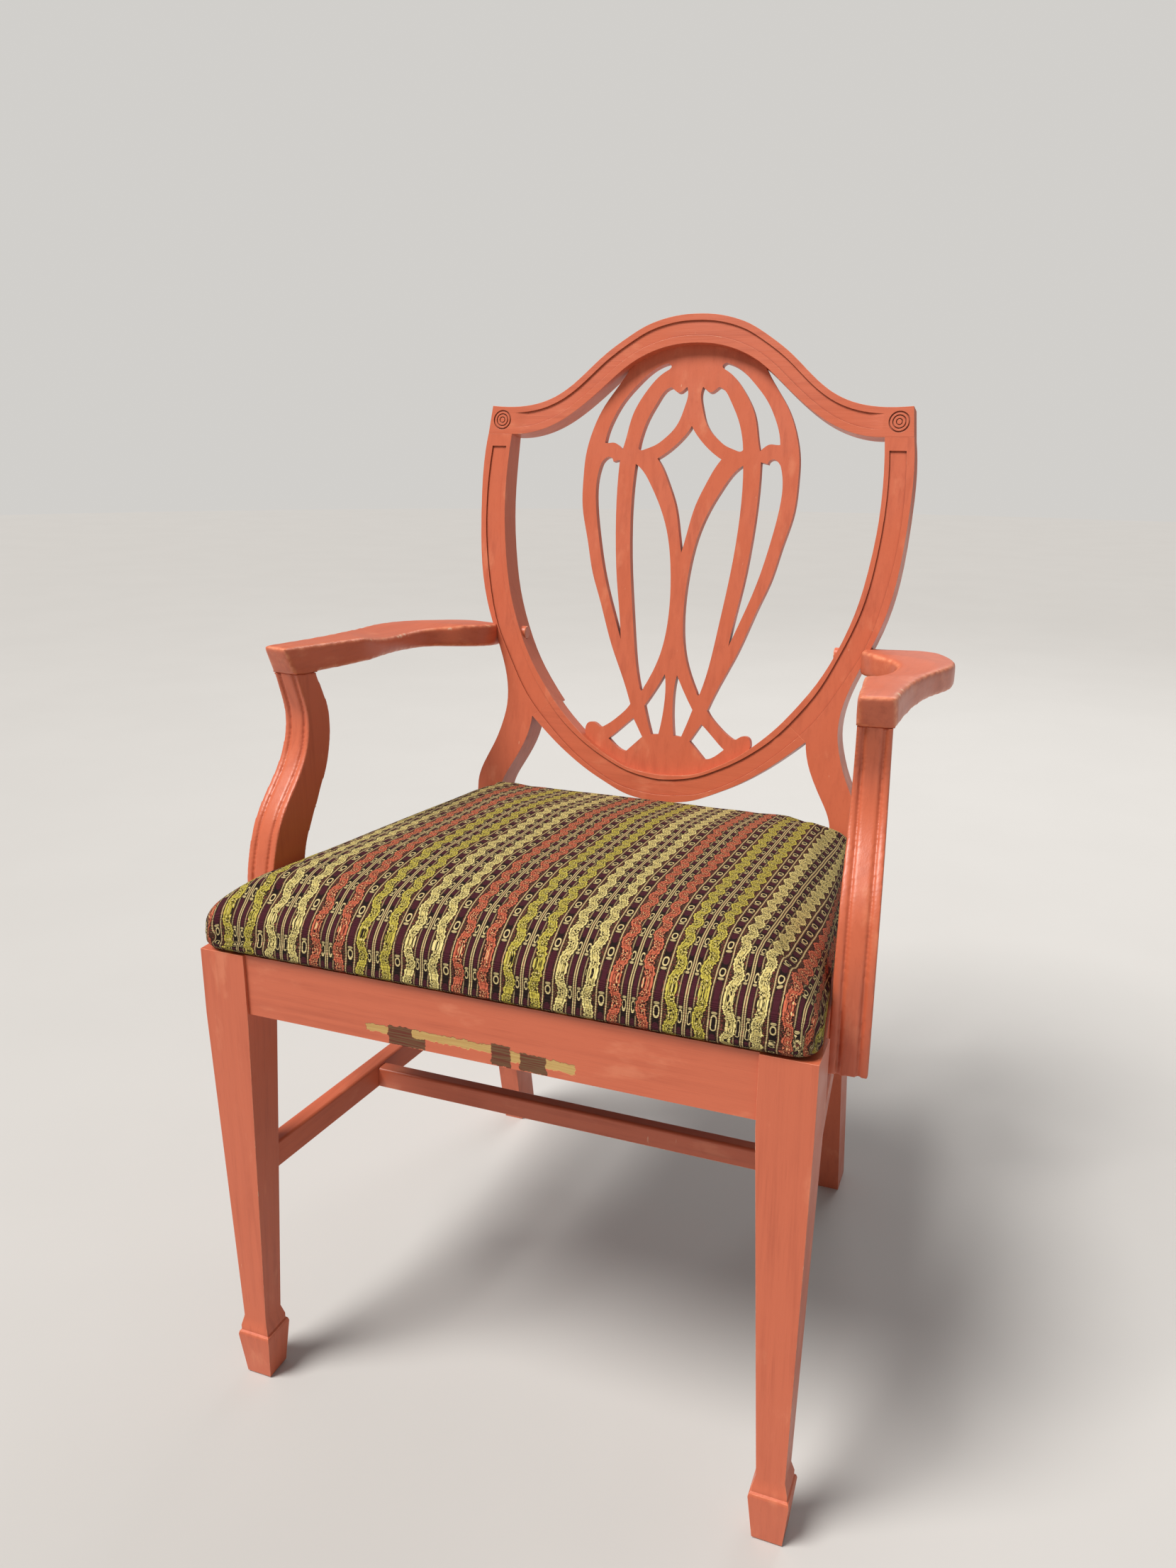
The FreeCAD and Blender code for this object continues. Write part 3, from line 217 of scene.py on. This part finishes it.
class Shader:
    """A node material on one surface shader, built by short calls."""

    def __init__(self, name, **settings):
        self.material = bpy.data.materials.new(name)
        self.material.use_nodes = True
        self.tree = self.material.node_tree
        self.surface = self.tree.nodes["Principled BSDF"]
        for key, value in settings.items():
            self.surface.inputs[key.replace("_", " ")].default_value = value

    def node(self, kind, out, inputs, **settings):
        made = self.tree.nodes.new("ShaderNode" + kind)
        for key, value in settings.items():
            setattr(made, key, value)
        for key, value in inputs.items():
            if isinstance(value, bpy.types.NodeSocket):
                self.tree.links.new(value, made.inputs[key])
            else:
                made.inputs[key].default_value = value
        return made.outputs[out]

    def math(self, operation, *values):
        return self.node("Math", 0, dict(enumerate(values)), operation=operation)

    def vector(self, operation, **values):
        sockets = {"first": 0, "second": 1, "scale": "Scale"}
        inputs = {sockets[key]: value for key, value in values.items()}
        return self.node("VectorMath", 0, inputs, operation=operation)

    def parts(self, vector):
        return self.node("SeparateXYZ", 0, {"Vector": vector}).node.outputs

    def place(self):
        return self.node("TexCoord", "Object", {})

    def attribute(self, name, out):
        return self.node("Attribute", out, {}, attribute_name=name)

    def scaled(self, vector, scale):
        return self.node("Mapping", 0, {"Vector": vector, "Scale": scale})

    def noise(self, vector, scale, detail=4.0, rough=0.55):
        return self.node("TexNoise", 0, {"Vector": vector, "Scale": scale, "Detail": detail,
                                         "Roughness": rough})

    def ramp(self, value, low, high, bottom=0.0, top=1.0, smooth=True):
        kind = "SMOOTHSTEP" if smooth else "LINEAR"
        return self.node("MapRange", 0, {0: value, 1: low, 2: high, 3: bottom, 4: top},
                         interpolation_type=kind)

    def band(self, value, centre, half, soft):
        """One inside a band around a centre, and zero outside it."""
        distance = self.math("ABSOLUTE", self.math("SUBTRACT", value, centre))
        return self.ramp(distance, half + soft, half - soft)

    def between(self, value, low, high, soft):
        """One between two places, and zero outside them."""
        return self.math("MULTIPLY", self.ramp(value, low - soft, low + soft),
                         self.ramp(value, high + soft, high - soft))

    def mix(self, share, first, second):
        return self.node("Mix", 2, {0: share, 6: first, 7: second}, data_type="RGBA")

    def bump(self, height, distance, strength):
        return self.node("Bump", 0, {"Height": height, "Distance": distance, "Strength": strength})

    def finish(self, **links):
        for key, value in links.items():
            self.tree.links.new(value, self.surface.inputs[key.replace("_", " ")])
        return self.material


def along(axis, length, across):
    """Texture scale for grain that runs along an axis, with a length and a spacing in metres."""
    scale = [1 / across] * 3
    scale["XYZ".index(axis)] = 1 / length
    return scale


def lost_paint(s, place, fine, colour):
    """The colour with bare wood where the front rail has lost its paint, and where that is."""
    torn = s.node("TexNoise", 1, {"Vector": place, "Scale": CHIP_GRAIN, "Detail": 4.0})
    shake = s.vector("SUBTRACT", first=torn, second=(0.5, 0.5, 0.5))
    small = s.vector("SCALE", first=shake, scale=CHIP_RAGGED)
    x, _, z = s.parts(s.vector("ADD", first=place, second=small))
    lost = 0.0
    for left, right, low, high, dark in RAIL_CHIPS:
        inside = s.math("MULTIPLY", s.between(x, left, right, CHIP_EDGE),
                        s.between(z, low, high, CHIP_EDGE))
        bare = s.mix(s.ramp(fine, 0.35, 0.65), *(CHIP_DARK if dark else CHIP_LIGHT))
        colour = s.mix(inside, colour, bare)
        lost = s.math("MAXIMUM", inside, lost)
    return colour, lost


def paint(axis, chipped=False):
    """Satin paint over wood whose grain runs along an axis."""
    s = Shader("painted_wood_" + axis.lower() + ("_chipped" if chipped else ""), Roughness=0.4)
    place = s.place()
    streak = s.noise(s.scaled(place, along(axis, 0.16, 0.006)), 1.0, 5)
    fine = s.noise(s.scaled(place, along(axis, 0.03, 0.0011)), 1.0, 3)
    cloud = s.noise(place, 14.0, 4)
    mottle = s.noise(place, 150.0, 3)

    # Streaks and smudges
    glaze = s.math("MULTIPLY", s.ramp(streak, 0.42, 0.72), s.ramp(cloud, 0.35, 0.7, 0.25, 1.0))
    colour = s.mix(s.math("MULTIPLY", glaze, 0.5), CORAL, CORAL_DEEP)
    colour = s.mix(s.ramp(fine, 0.56, 0.75, 0.0, 0.2), colour, CORAL_DEEP)
    smudge = s.noise(s.scaled(place, along(axis, 0.05, 0.022)), 1.0, 4)
    colour = s.mix(s.ramp(smudge, 0.58, 0.74, 0.0, 0.3), colour, CORAL_RUBBED)

    # Painted shade in the hollows, darkened where ambient occlusion finds them, and rubbed or nicked
    # paint on the edges
    hollow = s.node("AmbientOcclusion", 1, {"Distance": HOLLOW_WIDTH}, samples=6, only_local=True)
    colour = s.mix(s.ramp(hollow, 0.85, 0.35, 0.0, 0.7), colour, HOLLOW_SHADE_AND_DARK_CHIP)
    wear = s.attribute("wear", "Fac")
    worn = s.math("MULTIPLY", wear, s.ramp(mottle, 0.36, 0.62, 0.15, 0.75))
    colour = s.mix(worn, colour, CORAL_RUBBED)
    nick = s.noise(place, 75.0, 4, 0.65)
    colour = s.mix(s.math("MULTIPLY", wear, s.ramp(nick, 0.62, 0.65)), colour, PRIMER)
    scratch = s.noise(s.scaled(place, (310, 240, 26)), 1.0, 2)
    colour = s.mix(s.ramp(scratch, 0.765, 0.79, 0.0, 0.55), colour, PRIMER)

    height = s.math("ADD", s.math("MULTIPLY", fine, 0.5), streak)
    rough = s.ramp(cloud, 0.3, 0.7, 0.33, 0.47)
    if chipped:
        colour, lost = lost_paint(s, place, fine, colour)
        height = s.math("SUBTRACT", height, s.math("MULTIPLY", lost, 3.0))
        rough = s.math("MAXIMUM", rough, s.math("MULTIPLY", lost, 0.85))
    return s.finish(Base_Color=colour, Roughness=rough, Normal=s.bump(height, PAINT_RELIEF, 0.5))


def wood(name, axis, light, dark):
    """Unpainted wood."""
    s = Shader(name, Roughness=0.7)
    place = s.place()
    rings = s.noise(s.scaled(place, along(axis, 0.12, 0.005)), 1.0, 6)
    pores = s.noise(s.scaled(place, along(axis, 0.012, 0.0006)), 1.0, 2)
    colour = s.mix(s.ramp(rings, 0.3, 0.7), light, dark)
    colour = s.mix(s.ramp(pores, 0.58, 0.74, 0.0, 0.5), colour, dark)
    return s.finish(Base_Color=colour, Normal=s.bump(pores, 0.0003, 0.6))


def metal():
    s = Shader("zinc_steel", Metallic=1.0, Roughness=0.38)
    spots = s.noise(s.place(), 600.0, 3)
    colour = s.mix(s.ramp(spots, 0.35, 0.7), (0.62, 0.61, 0.58, 1), (0.40, 0.38, 0.35, 1))
    return s.finish(Base_Color=colour, Normal=s.bump(spots, 0.0001, 0.5))


def dust_cloth():
    s = Shader("dust_cloth", Roughness=0.95)
    place = s.place()
    fibre = s.noise(place, 1400.0, 3)
    patch = s.noise(place, 30.0, 4)
    colour = s.mix(s.ramp(fibre, 0.35, 0.65), (0.012, 0.012, 0.013, 1), (0.035, 0.034, 0.033, 1))
    colour = s.mix(s.ramp(patch, 0.5, 0.75, 0.0, 0.35), colour, (0.09, 0.085, 0.08, 1))
    return s.finish(Base_Color=colour, Normal=s.bump(fibre, 0.0003, 0.7))


def striped_cloth():
    """Woven stripes: scalloped garlands in pairs, thin lines, and blocks and ovals in rows."""
    s = Shader("striped_fabric", Roughness=0.92, Specular_IOR_Level=0.2)
    flat = s.attribute("cloth", "Vector")
    x, v, _ = s.parts(flat)
    wobble = s.ramp(s.noise(flat, 45.0, 2), 0.0, 1.0, -0.0006, 0.0006, smooth=False)
    u = s.math("ADD", x, wobble)

    # Which pair a point is in, and how far it is from the pair's middle
    count = s.math("ADD", s.math("DIVIDE", s.math("SUBTRACT", u, PAIR_MIDDLE), PAIR_PITCH), 0.5)
    pair = s.math("FLOOR", count)
    turn = s.math("FLOORED_MODULO", pair, float(len(GARLANDS)))
    off = s.math("ABSOLUTE", s.math("SUBTRACT", s.math("SUBTRACT", count, pair), 0.5))
    out = s.math("MULTIPLY", off, PAIR_PITCH * 1000)

    # The garland's wavy middle line and its leafy edge
    phase = s.math("MULTIPLY", v, 2 * math.pi / WAVE_LENGTH)
    beat = s.math("FRACT", s.math("DIVIDE", v, WAVE_LENGTH))
    wave = s.math("MULTIPLY", s.math("SINE", phase), WAVE_DEPTH)
    shifted = s.math("SUBTRACT", out, s.math("ADD", wave, GARLAND_MIDDLE))
    from_line = s.math("ABSOLUTE", shifted)
    fibre = s.noise(s.scaled(flat, (2600, 500, 1)), 1.0, 2)
    speck = s.noise(s.scaled(flat, (1050, 800, 1)), 1.0, 2)
    leaves = s.math("ABSOLUTE", s.math("SINE", s.math("MULTIPLY", phase, 3.0)))
    ragged = s.math("ADD", s.math("MULTIPLY", leaves, LEAF_LENGTH), s.ramp(speck, 0.2, 0.8, -0.7, 0.7))
    edge = s.math("ADD", from_line, ragged)
    garland = s.ramp(edge, 4.6, 4.1)
    rim = s.math("SUBTRACT", s.ramp(edge, 5.5, 5.0), garland)

    def spot(centre, middle, width, length):
        """An oval of a width and length, in millimetres, at a share of each wave."""
        dx = s.math("DIVIDE", s.math("SUBTRACT", out, centre), width / 2)
        dy = s.math("DIVIDE", s.math("SUBTRACT", beat, middle), length / 2000 / WAVE_LENGTH)
        return s.math("ADD", s.math("POWER", s.math("ABSOLUTE", dx), 2.5),
                      s.math("POWER", s.math("ABSOLUTE", dy), 2.5))

    # Ground
    colour = s.mix(s.ramp(fibre, 0.3, 0.7), BLACK, BROWN)
    colour = s.mix(s.ramp(speck, 0.57, 0.63, 0.0, 0.55), colour, PINK)
    colour = s.mix(s.ramp(speck, 0.38, 0.33, 0.0, 0.4), colour, CREAM)
    dark = s.math("MAXIMUM", s.band(out, 3.4, 2.0, 0.3), s.ramp(out, 18.2, 18.8))
    colour = s.mix(dark, colour, BLACK)

    # Columns of blocks, ovals and knots, and thin lines
    for centre, wide in COLUMNS:
        block = spot(centre, 0.30, wide, 8.0)
        colour = s.mix(s.ramp(block, 1.5, 0.8), colour, MAROON)
        oval = spot(centre, 0.78, wide, 6.4)
        ring = s.math("SUBTRACT", s.ramp(oval, 1.3, 0.95), s.ramp(oval, 0.5, 0.3))
        colour = s.mix(ring, colour, CREAM)
        knot = spot(centre, 0.55, wide, 1.8)
        colour = s.mix(s.math("MULTIPLY", s.ramp(knot, 1.3, 0.7), 0.7), colour, CREAM)
    for centre, share in LINES:
        line = s.band(out, centre, LINE_HALF, 0.2)
        colour = s.mix(s.math("MULTIPLY", line, share), colour, CREAM)

    # Garlands with their rims, veins and flowers
    for k, (light, deep) in enumerate(GARLANDS):
        dyed = s.mix(s.ramp(fibre, 0.40, 0.60), deep, light)
        dyed = s.mix(s.band(edge, 3.3, 0.5, 0.4), dyed, light)
        chosen = s.math("MULTIPLY", garland, s.math("COMPARE", turn, float(k), 0.1))
        colour = s.mix(chosen, colour, dyed)
    colour = s.mix(s.math("MULTIPLY", rim, 0.9), colour, BLACK)
    vein = s.math("MULTIPLY", s.band(from_line, 2.1, 0.3, 0.2), garland)
    colour = s.mix(s.math("MULTIPLY", vein, s.ramp(speck, 0.44, 0.50)), colour, BLACK)
    for middle in (0.25, 0.75):
        bloom = s.ramp(spot(GARLAND_MIDDLE, middle, 6.0, 8.0), 1.4, 0.7)
        bloom = s.math("MULTIPLY", bloom, garland)
        colour = s.mix(s.math("MULTIPLY", bloom, s.ramp(speck, 0.51, 0.55)), colour, BLACK)
        colour = s.mix(s.math("MULTIPLY", bloom, s.ramp(speck, 0.42, 0.38)), colour, CREAM)

    weave = s.node("TexWave", 1, {"Vector": flat, "Scale": 260.0, "Distortion": 1.2, "Detail": 1.0},
                   bands_direction="Y")
    height = s.math("ADD", s.math("MULTIPLY", garland, 0.8), s.math("ADD", weave, fibre))
    return s.finish(Base_Color=colour, Normal=s.bump(height, 0.0005, 0.8))


def floor_look():
    s = Shader("pale_floor", Roughness=0.75)
    cloud = s.noise(s.place(), 3.0, 5)
    colour = s.mix(s.ramp(cloud, 0.3, 0.7), (0.515, 0.508, 0.497, 1), (0.525, 0.518, 0.507, 1))
    return s.finish(Base_Color=colour)


def link(name, mesh, material, slot=None):
    """A new object from a mesh, with its material. With a slot it is a piece of the chair."""
    obj = bpy.data.objects.new(name, mesh)
    scene.collection.objects.link(obj)
    mesh.materials.clear()
    mesh.materials.append(material)
    if slot:
        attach(obj, "root")
    return obj


def mesh_of(bm, name):
    """A mesh from an edit mesh, which is then freed."""
    mesh = bpy.data.meshes.new(name)
    bm.to_mesh(mesh)
    bm.free()
    return mesh


def bake(obj):
    """Gives an object the mesh that it has after its modifiers."""
    bpy.context.view_layer.update()
    graph = bpy.context.evaluated_depsgraph_get()
    mesh = bpy.data.meshes.new_from_object(obj.evaluated_get(graph))
    obj.modifiers.clear()
    obj.data = mesh


def voxels(obj, size):
    remesh = obj.modifiers.new("remesh", "REMESH")
    remesh.mode = "VOXEL"
    remesh.voxel_size = size


def whole(node):
    """A node's mesh with its split corners joined and its flat faces made whole."""
    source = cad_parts[node].data
    plain = bpy.data.meshes.new(node)
    plain.from_pydata([v.co for v in source.vertices], [], [p.vertices for p in source.polygons])
    bm = bmesh.new()
    bm.from_mesh(plain)
    bpy.data.meshes.remove(plain)
    bmesh.ops.remove_doubles(bm, verts=bm.verts, dist=JOIN)
    bmesh.ops.dissolve_degenerate(bm, edges=bm.edges, dist=JOIN)
    bmesh.ops.dissolve_limit(bm, angle_limit=rad(FLAT_ANGLE), verts=bm.verts, edges=bm.edges)
    return bm


def bends(e, angle):
    return len(e.link_faces) == 2 and e.calc_face_angle(0) > rad(angle)


def round_edges(bm):
    """Rounds the convex edges. The middle of each rounding is marked as worn."""
    edges = [e for e in bm.edges if bends(e, ROUND_ANGLE) and e.is_convex]
    made = bmesh.ops.bevel(bm, geom=edges, offset=EDGE_ROUND, offset_type="OFFSET",
                           segments=EDGE_SEGMENTS, profile=0.5, affect="EDGES", clamp_overlap=True)
    wear = bm.verts.layers.float.new("wear")
    new = set(made["faces"])
    for face in new:
        for vert in face.verts:
            if all(other in new for other in vert.link_faces):
                vert[wear] = 1.0
    for face in bm.faces:
        face.smooth = True
    for e in bm.edges:
        e.smooth = not bends(e, SHADE_ANGLE)


def painted(node, material):
    """A painted piece with rounded edges."""
    bm = whole(node)
    round_edges(bm)
    obj = link(node + "_painted", mesh_of(bm, node + "_painted"), material, "painted_wood")
    normals = obj.modifiers.new("even_normals", "WEIGHTED_NORMAL")
    normals.mode = "FACE_AREA"
    normals.keep_sharp = True
    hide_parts(node)


def surface_of(node):
    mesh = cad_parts[node].data
    return BVHTree.FromPolygons([v.co for v in mesh.vertices], [p.vertices for p in mesh.polygons])


def carved(side, kind, material):
    """A painted piece softened all over, and left as it is where it fits against a neighbour."""
    voxel, rounds, neighbours = CARVED[kind]
    node = side + kind
    obj = link(node + "_painted", mesh_of(whole(node), node + "_painted"), material, "painted_wood")
    voxels(obj, voxel)
    bake(obj)
    touched = [surface_of(side + name) for name in neighbours]
    bm = bmesh.new()
    bm.from_mesh(obj.data)
    start = [v.co.copy() for v in bm.verts]
    free = [v for v in bm.verts
            if all(near.find_nearest(v.co, TOUCHING)[0] is None for near in touched)]
    for _ in range(rounds):
        bmesh.ops.smooth_vert(bm, verts=free, factor=0.5, use_axis_x=True, use_axis_y=True,
                              use_axis_z=True)
    wear = bm.verts.layers.float.new("wear")
    for v, before in zip(bm.verts, start):
        sunk = (before - v.co).dot(v.normal) / voxel
        v[wear] = min(1.0, max(0.0, sunk * WEAR_GAIN - WEAR_START))
    for face in bm.faces:
        face.smooth = True
    bm.to_mesh(obj.data)
    bm.free()
    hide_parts(node)


def seat_ring(low, corners, height, inset, back_inset):
    """One ring of the seat: a four-sided outline with rounded corners, all with equal counts."""
    front_y, back_y, front_x, back_x = corners
    slope = (front_x - back_x) / (back_y - front_y)
    y0, y1 = front_y + inset, back_y - back_inset
    depth = back_y - front_y
    points = []
    for corner, (sx, sy) in enumerate(((1, -1), (1, 1), (-1, 1), (-1, -1))):
        y = y0 if sy < 0 else y1
        x = front_x - inset - slope * (y - front_y)
        centre = Vector((sx * (x - SEAT_CORNER), y - sy * SEAT_CORNER))
        for k in range(CORNER_STEPS + 1):
            angle = math.pi / 2 * (corner - 1) + math.pi / 2 * k / CORNER_STEPS
            points.append(centre + SEAT_CORNER * Vector((math.cos(angle), math.sin(angle))))
    ring = []
    for p, q in zip(points, points[1:] + points[:1]):
        steps = SIDE_STEPS if (q - p).length > SIDE_LENGTH else 1
        ring += [p.lerp(q, j / steps) for j in range(steps)]
    return [Vector((p.x, p.y, low + height * (1 - TAPER * (p.y - y0) / depth))) for p in ring]


def seat_mesh():
    """The closed form of the seat before it is swelled."""
    low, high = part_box("seat_cover")
    corners = (low.y, high.y, SEAT_FRONT_HALF, SEAT_BACK_HALF)
    rings = [seat_ring(low.z + SEAT_LIFT, corners, *(mm / 1000 for mm in row)) for row in SECTION]
    bm = bmesh.new()
    grid = [[bm.verts.new(p) for p in ring] for ring in rings]
    count = len(grid[0])
    for lower, upper in zip(grid, grid[1:]):
        for k in range(count):
            n = (k + 1) % count
            bm.faces.new((lower[k], lower[n], upper[n], upper[k]))
    bm.faces.new(list(reversed(grid[0])))
    bm.faces.new(grid[-1])
    bmesh.ops.triangulate(bm, faces=[f for f in bm.faces if len(f.verts) > 4])
    bmesh.ops.recalc_face_normals(bm, faces=bm.faces)
    return mesh_of(bm, "seat_cushion")


def notch_box(sign):
    """A box that clears a back corner of the seat from its post."""
    seat_low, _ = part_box("seat_cover")
    wide, deep, tall = NOTCH_BOX
    inner = NOTCH_INNER - NOTCH_GAP
    front = NOTCH_FRONT - NOTCH_GAP
    bm = bmesh.new()
    bmesh.ops.create_cube(bm, size=1.0)
    for v in bm.verts:
        v.co = Vector((sign * (inner + wide * (v.co.x + 0.5)), front + deep * (v.co.y + 0.5),
                       seat_low.z - NOTCH_DROP + tall * (v.co.z + 0.5)))
    bmesh.ops.recalc_face_normals(bm, faces=bm.faces)
    obj = bpy.data.objects.new("notch", mesh_of(bm, "notch"))
    scene.collection.objects.link(obj)
    return obj


def swell(obj):
    """Swells the cushion by a short cloth run, with its lower edge held."""
    verts = obj.data.vertices
    low = min(v.co.z for v in verts)
    held = obj.vertex_groups.new(name="held")
    held.add([v.index for v in verts if v.co.z < low + SEAT_HELD], 1.0, "REPLACE")
    start = [v.co.copy() for v in verts]
    settings = obj.modifiers.new("cloth", "CLOTH").settings
    settings.quality = SEAT_QUALITY
    settings.use_pressure = True
    settings.uniform_pressure_force = SEAT_PRESSURE
    settings.effector_weights.gravity = 0
    settings.vertex_group_mass = "held"
    for number in range(1, SEAT_FRAMES + 1):
        scene.frame_set(number)
    graph = bpy.context.evaluated_depsgraph_get()
    swollen = [v.co.copy() for v in obj.evaluated_get(graph).data.vertices]
    obj.modifiers.clear()
    scene.frame_set(1)
    for v, before, after in zip(obj.data.vertices, start, swollen):
        move = after - before
        if move.length > SEAT_SWELL:
            move *= SEAT_SWELL / move.length
        v.co = before + move


def lay_cloth(obj):
    """Stores on each point where it is on the flat cloth, in metres along and across."""
    mesh = obj.data
    low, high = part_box("seat_cover")
    laid = mesh.attributes.new("cloth", "FLOAT_VECTOR", "POINT")
    for v, item in zip(mesh.vertices, laid.data):
        n = v.normal
        share = (v.co.y - low.y) / (high.y - low.y)
        fold = low.z + FOLD_HEIGHT * (1 - TAPER * share)
        drop = max(0.0, fold - v.co.z)
        u = v.co.x + math.copysign(drop * n.x * n.x, v.co.x)
        w = v.co.y - drop * n.y * abs(n.y) * (-1 if n.y > 0 else 1)
        item.vector = (u, w, 0.0)


def cushion():
    obj = link("seat_cushion", seat_mesh(), CLOTH, "striped_fabric")
    boxes = [notch_box(sign) for sign in (1, -1)]
    for box in boxes:
        cut = obj.modifiers.new("notch", "BOOLEAN")
        cut.object = box
        cut.operation = "DIFFERENCE"
        cut.solver = "EXACT"
    voxels(obj, SEAT_VOXEL)
    smooth = obj.modifiers.new("smooth", "SMOOTH")
    smooth.factor = 0.5
    smooth.iterations = SEAT_SMOOTHING
    bake(obj)
    for box in boxes:
        bpy.data.objects.remove(box)
    swell(obj)
    fine = obj.modifiers.new("fine", "SUBSURF")
    fine.levels = fine.render_levels = 1
    bake(obj)
    lay_cloth(obj)
    obj.data.shade_smooth()
    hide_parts("seat_cover", "seat_foam")


def dust_lines(front):
    """(y, half width) of the rows of the dust cloth, from front to back."""
    rows = [(front, DUST_FRONT_HALF)] + DUST_OUTLINE
    lines = []
    for (y0, h0), (y1, h1) in zip(rows, rows[1:]):
        steps = max(1, round((y1 - y0) / DUST_ROW))
        lines += [(y0 + (y1 - y0) * k / steps, h0 + (h1 - h0) * k / steps) for k in range(steps)]
    return lines + rows[-1:]


def dust_sheet():
    """The cloth below the seat: flat where it is tacked, and sagging a little between."""
    low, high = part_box("seat_dust_cover")
    lines = dust_lines(low.y + DUST_FRONT_INSET)
    front, back = lines[0][0], lines[-1][0]
    bm = bmesh.new()
    grid = []
    for y, half in lines:
        row = []
        for k in range(DUST_STEPS + 1):
            x = half * (2 * k / DUST_STEPS - 1)
            inside = min(half - abs(x), y - front, back - y)
            share = min(1.0, max(0.0, (inside - DUST_TACKED) / (DUST_FREE - DUST_TACKED)))
            crease = DUST_CREASE * noise.noise(Vector((x * DUST_CREASES, y * DUST_CREASES, 0)))
            drop = (DUST_SAG + crease) * share * share * (3 - 2 * share)
            row.append(bm.verts.new((x, y, low.z + DUST_THICKNESS + DUST_LIFT - drop)))
        grid.append(row)
    for before, after in zip(grid, grid[1:]):
        for k in range(DUST_STEPS):
            bm.faces.new((before[k], before[k + 1], after[k + 1], after[k]))
    area = sum(face.calc_area() for face in bm.faces)
    obj = link("seat_dust_cloth", mesh_of(bm, "seat_dust_cloth"), DUST, "black_cloth")
    thick = obj.modifiers.new("thick", "SOLIDIFY")
    thick.thickness = DUST_THICKNESS
    thick.offset = -1
    bake(obj)
    obj.data.shade_smooth()
    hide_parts("seat_dust_cover")


def ground():
    mesh = bpy.data.meshes.new("floor")
    ring = [(FLOOR_RADIUS * math.cos(rad(a)), FLOOR_RADIUS * math.sin(rad(a)), 0)
            for a in range(0, 360, FLOOR_STEP)]
    mesh.from_pydata(ring, [], [list(range(len(ring)))])
    link("floor", mesh, floor_look())


def lamp(name, kind, place, aim, power, **settings):
    data = bpy.data.lights.new(name, kind)
    data.energy = power
    for key, value in settings.items():
        setattr(data, key, value)
    obj = bpy.data.objects.new(name, data)
    obj.location = place
    obj.rotation_mode = "QUATERNION"
    obj.rotation_quaternion = (Vector(aim) - Vector(place)).to_track_quat("-Z", "Y")
    scene.collection.objects.link(obj)


def background():
    """Weak even light from all round, with a pale colour where the camera sees it."""
    world = bpy.data.worlds.new("studio")
    scene.world = world
    world.use_nodes = True
    nodes, links = world.node_tree.nodes, world.node_tree.links
    light = nodes["Background"]
    light.inputs["Color"].default_value = SKY_COLOUR
    light.inputs["Strength"].default_value = SKY_STRENGTH
    shown = nodes.new("ShaderNodeBackground")
    shown.inputs["Color"].default_value = BACKGROUND
    path = nodes.new("ShaderNodeLightPath")
    choose = nodes.new("ShaderNodeMixShader")
    links.new(path.outputs["Is Camera Ray"], choose.inputs[0])
    links.new(light.outputs[0], choose.inputs[1])
    links.new(shown.outputs[0], choose.inputs[2])
    links.new(choose.outputs[0], nodes["World Output"].inputs["Surface"])


camera()
PAINT = {axis: paint(axis) for axis in "XYZ"}
CHIPPED = paint("X", chipped=True)
BARE = wood("bare_wood", "X", (0.50, 0.31, 0.145, 1), (0.30, 0.165, 0.07, 1))
PLYWOOD = wood("plywood", "Y", (0.56, 0.38, 0.19, 1), (0.38, 0.23, 0.10, 1))
STEEL = metal()
CLOTH = striped_cloth()
DUST = dust_cloth()

for node in list(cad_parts):
    kind = node.replace("left_", "").replace("right_", "")
    if kind in CARVED:
        carved(node[:len(node) - len(kind)], kind, PAINT[GRAIN[kind]])
    elif kind in GRAIN:
        painted(node, CHIPPED if node == "front_rail" else PAINT[GRAIN[kind]])
for material, nodes in ((BARE, BARE_NODES), (STEEL, STEEL_NODES), (PLYWOOD, ("seat_board",))):
    for node in nodes:
        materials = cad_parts[node].data.materials
        materials.clear()
        materials.append(material)
cushion()
dust_sheet()

ground()
lamp("key", "SUN", KEY_PLACE, KEY_AIM, KEY_POWER, angle=rad(KEY_ANGLE), color=KEY_COLOUR)
lamp("back", "AREA", BACK_PLACE, BACK_AIM, BACK_POWER, shape="DISK", size=BACK_SIZE)
background()
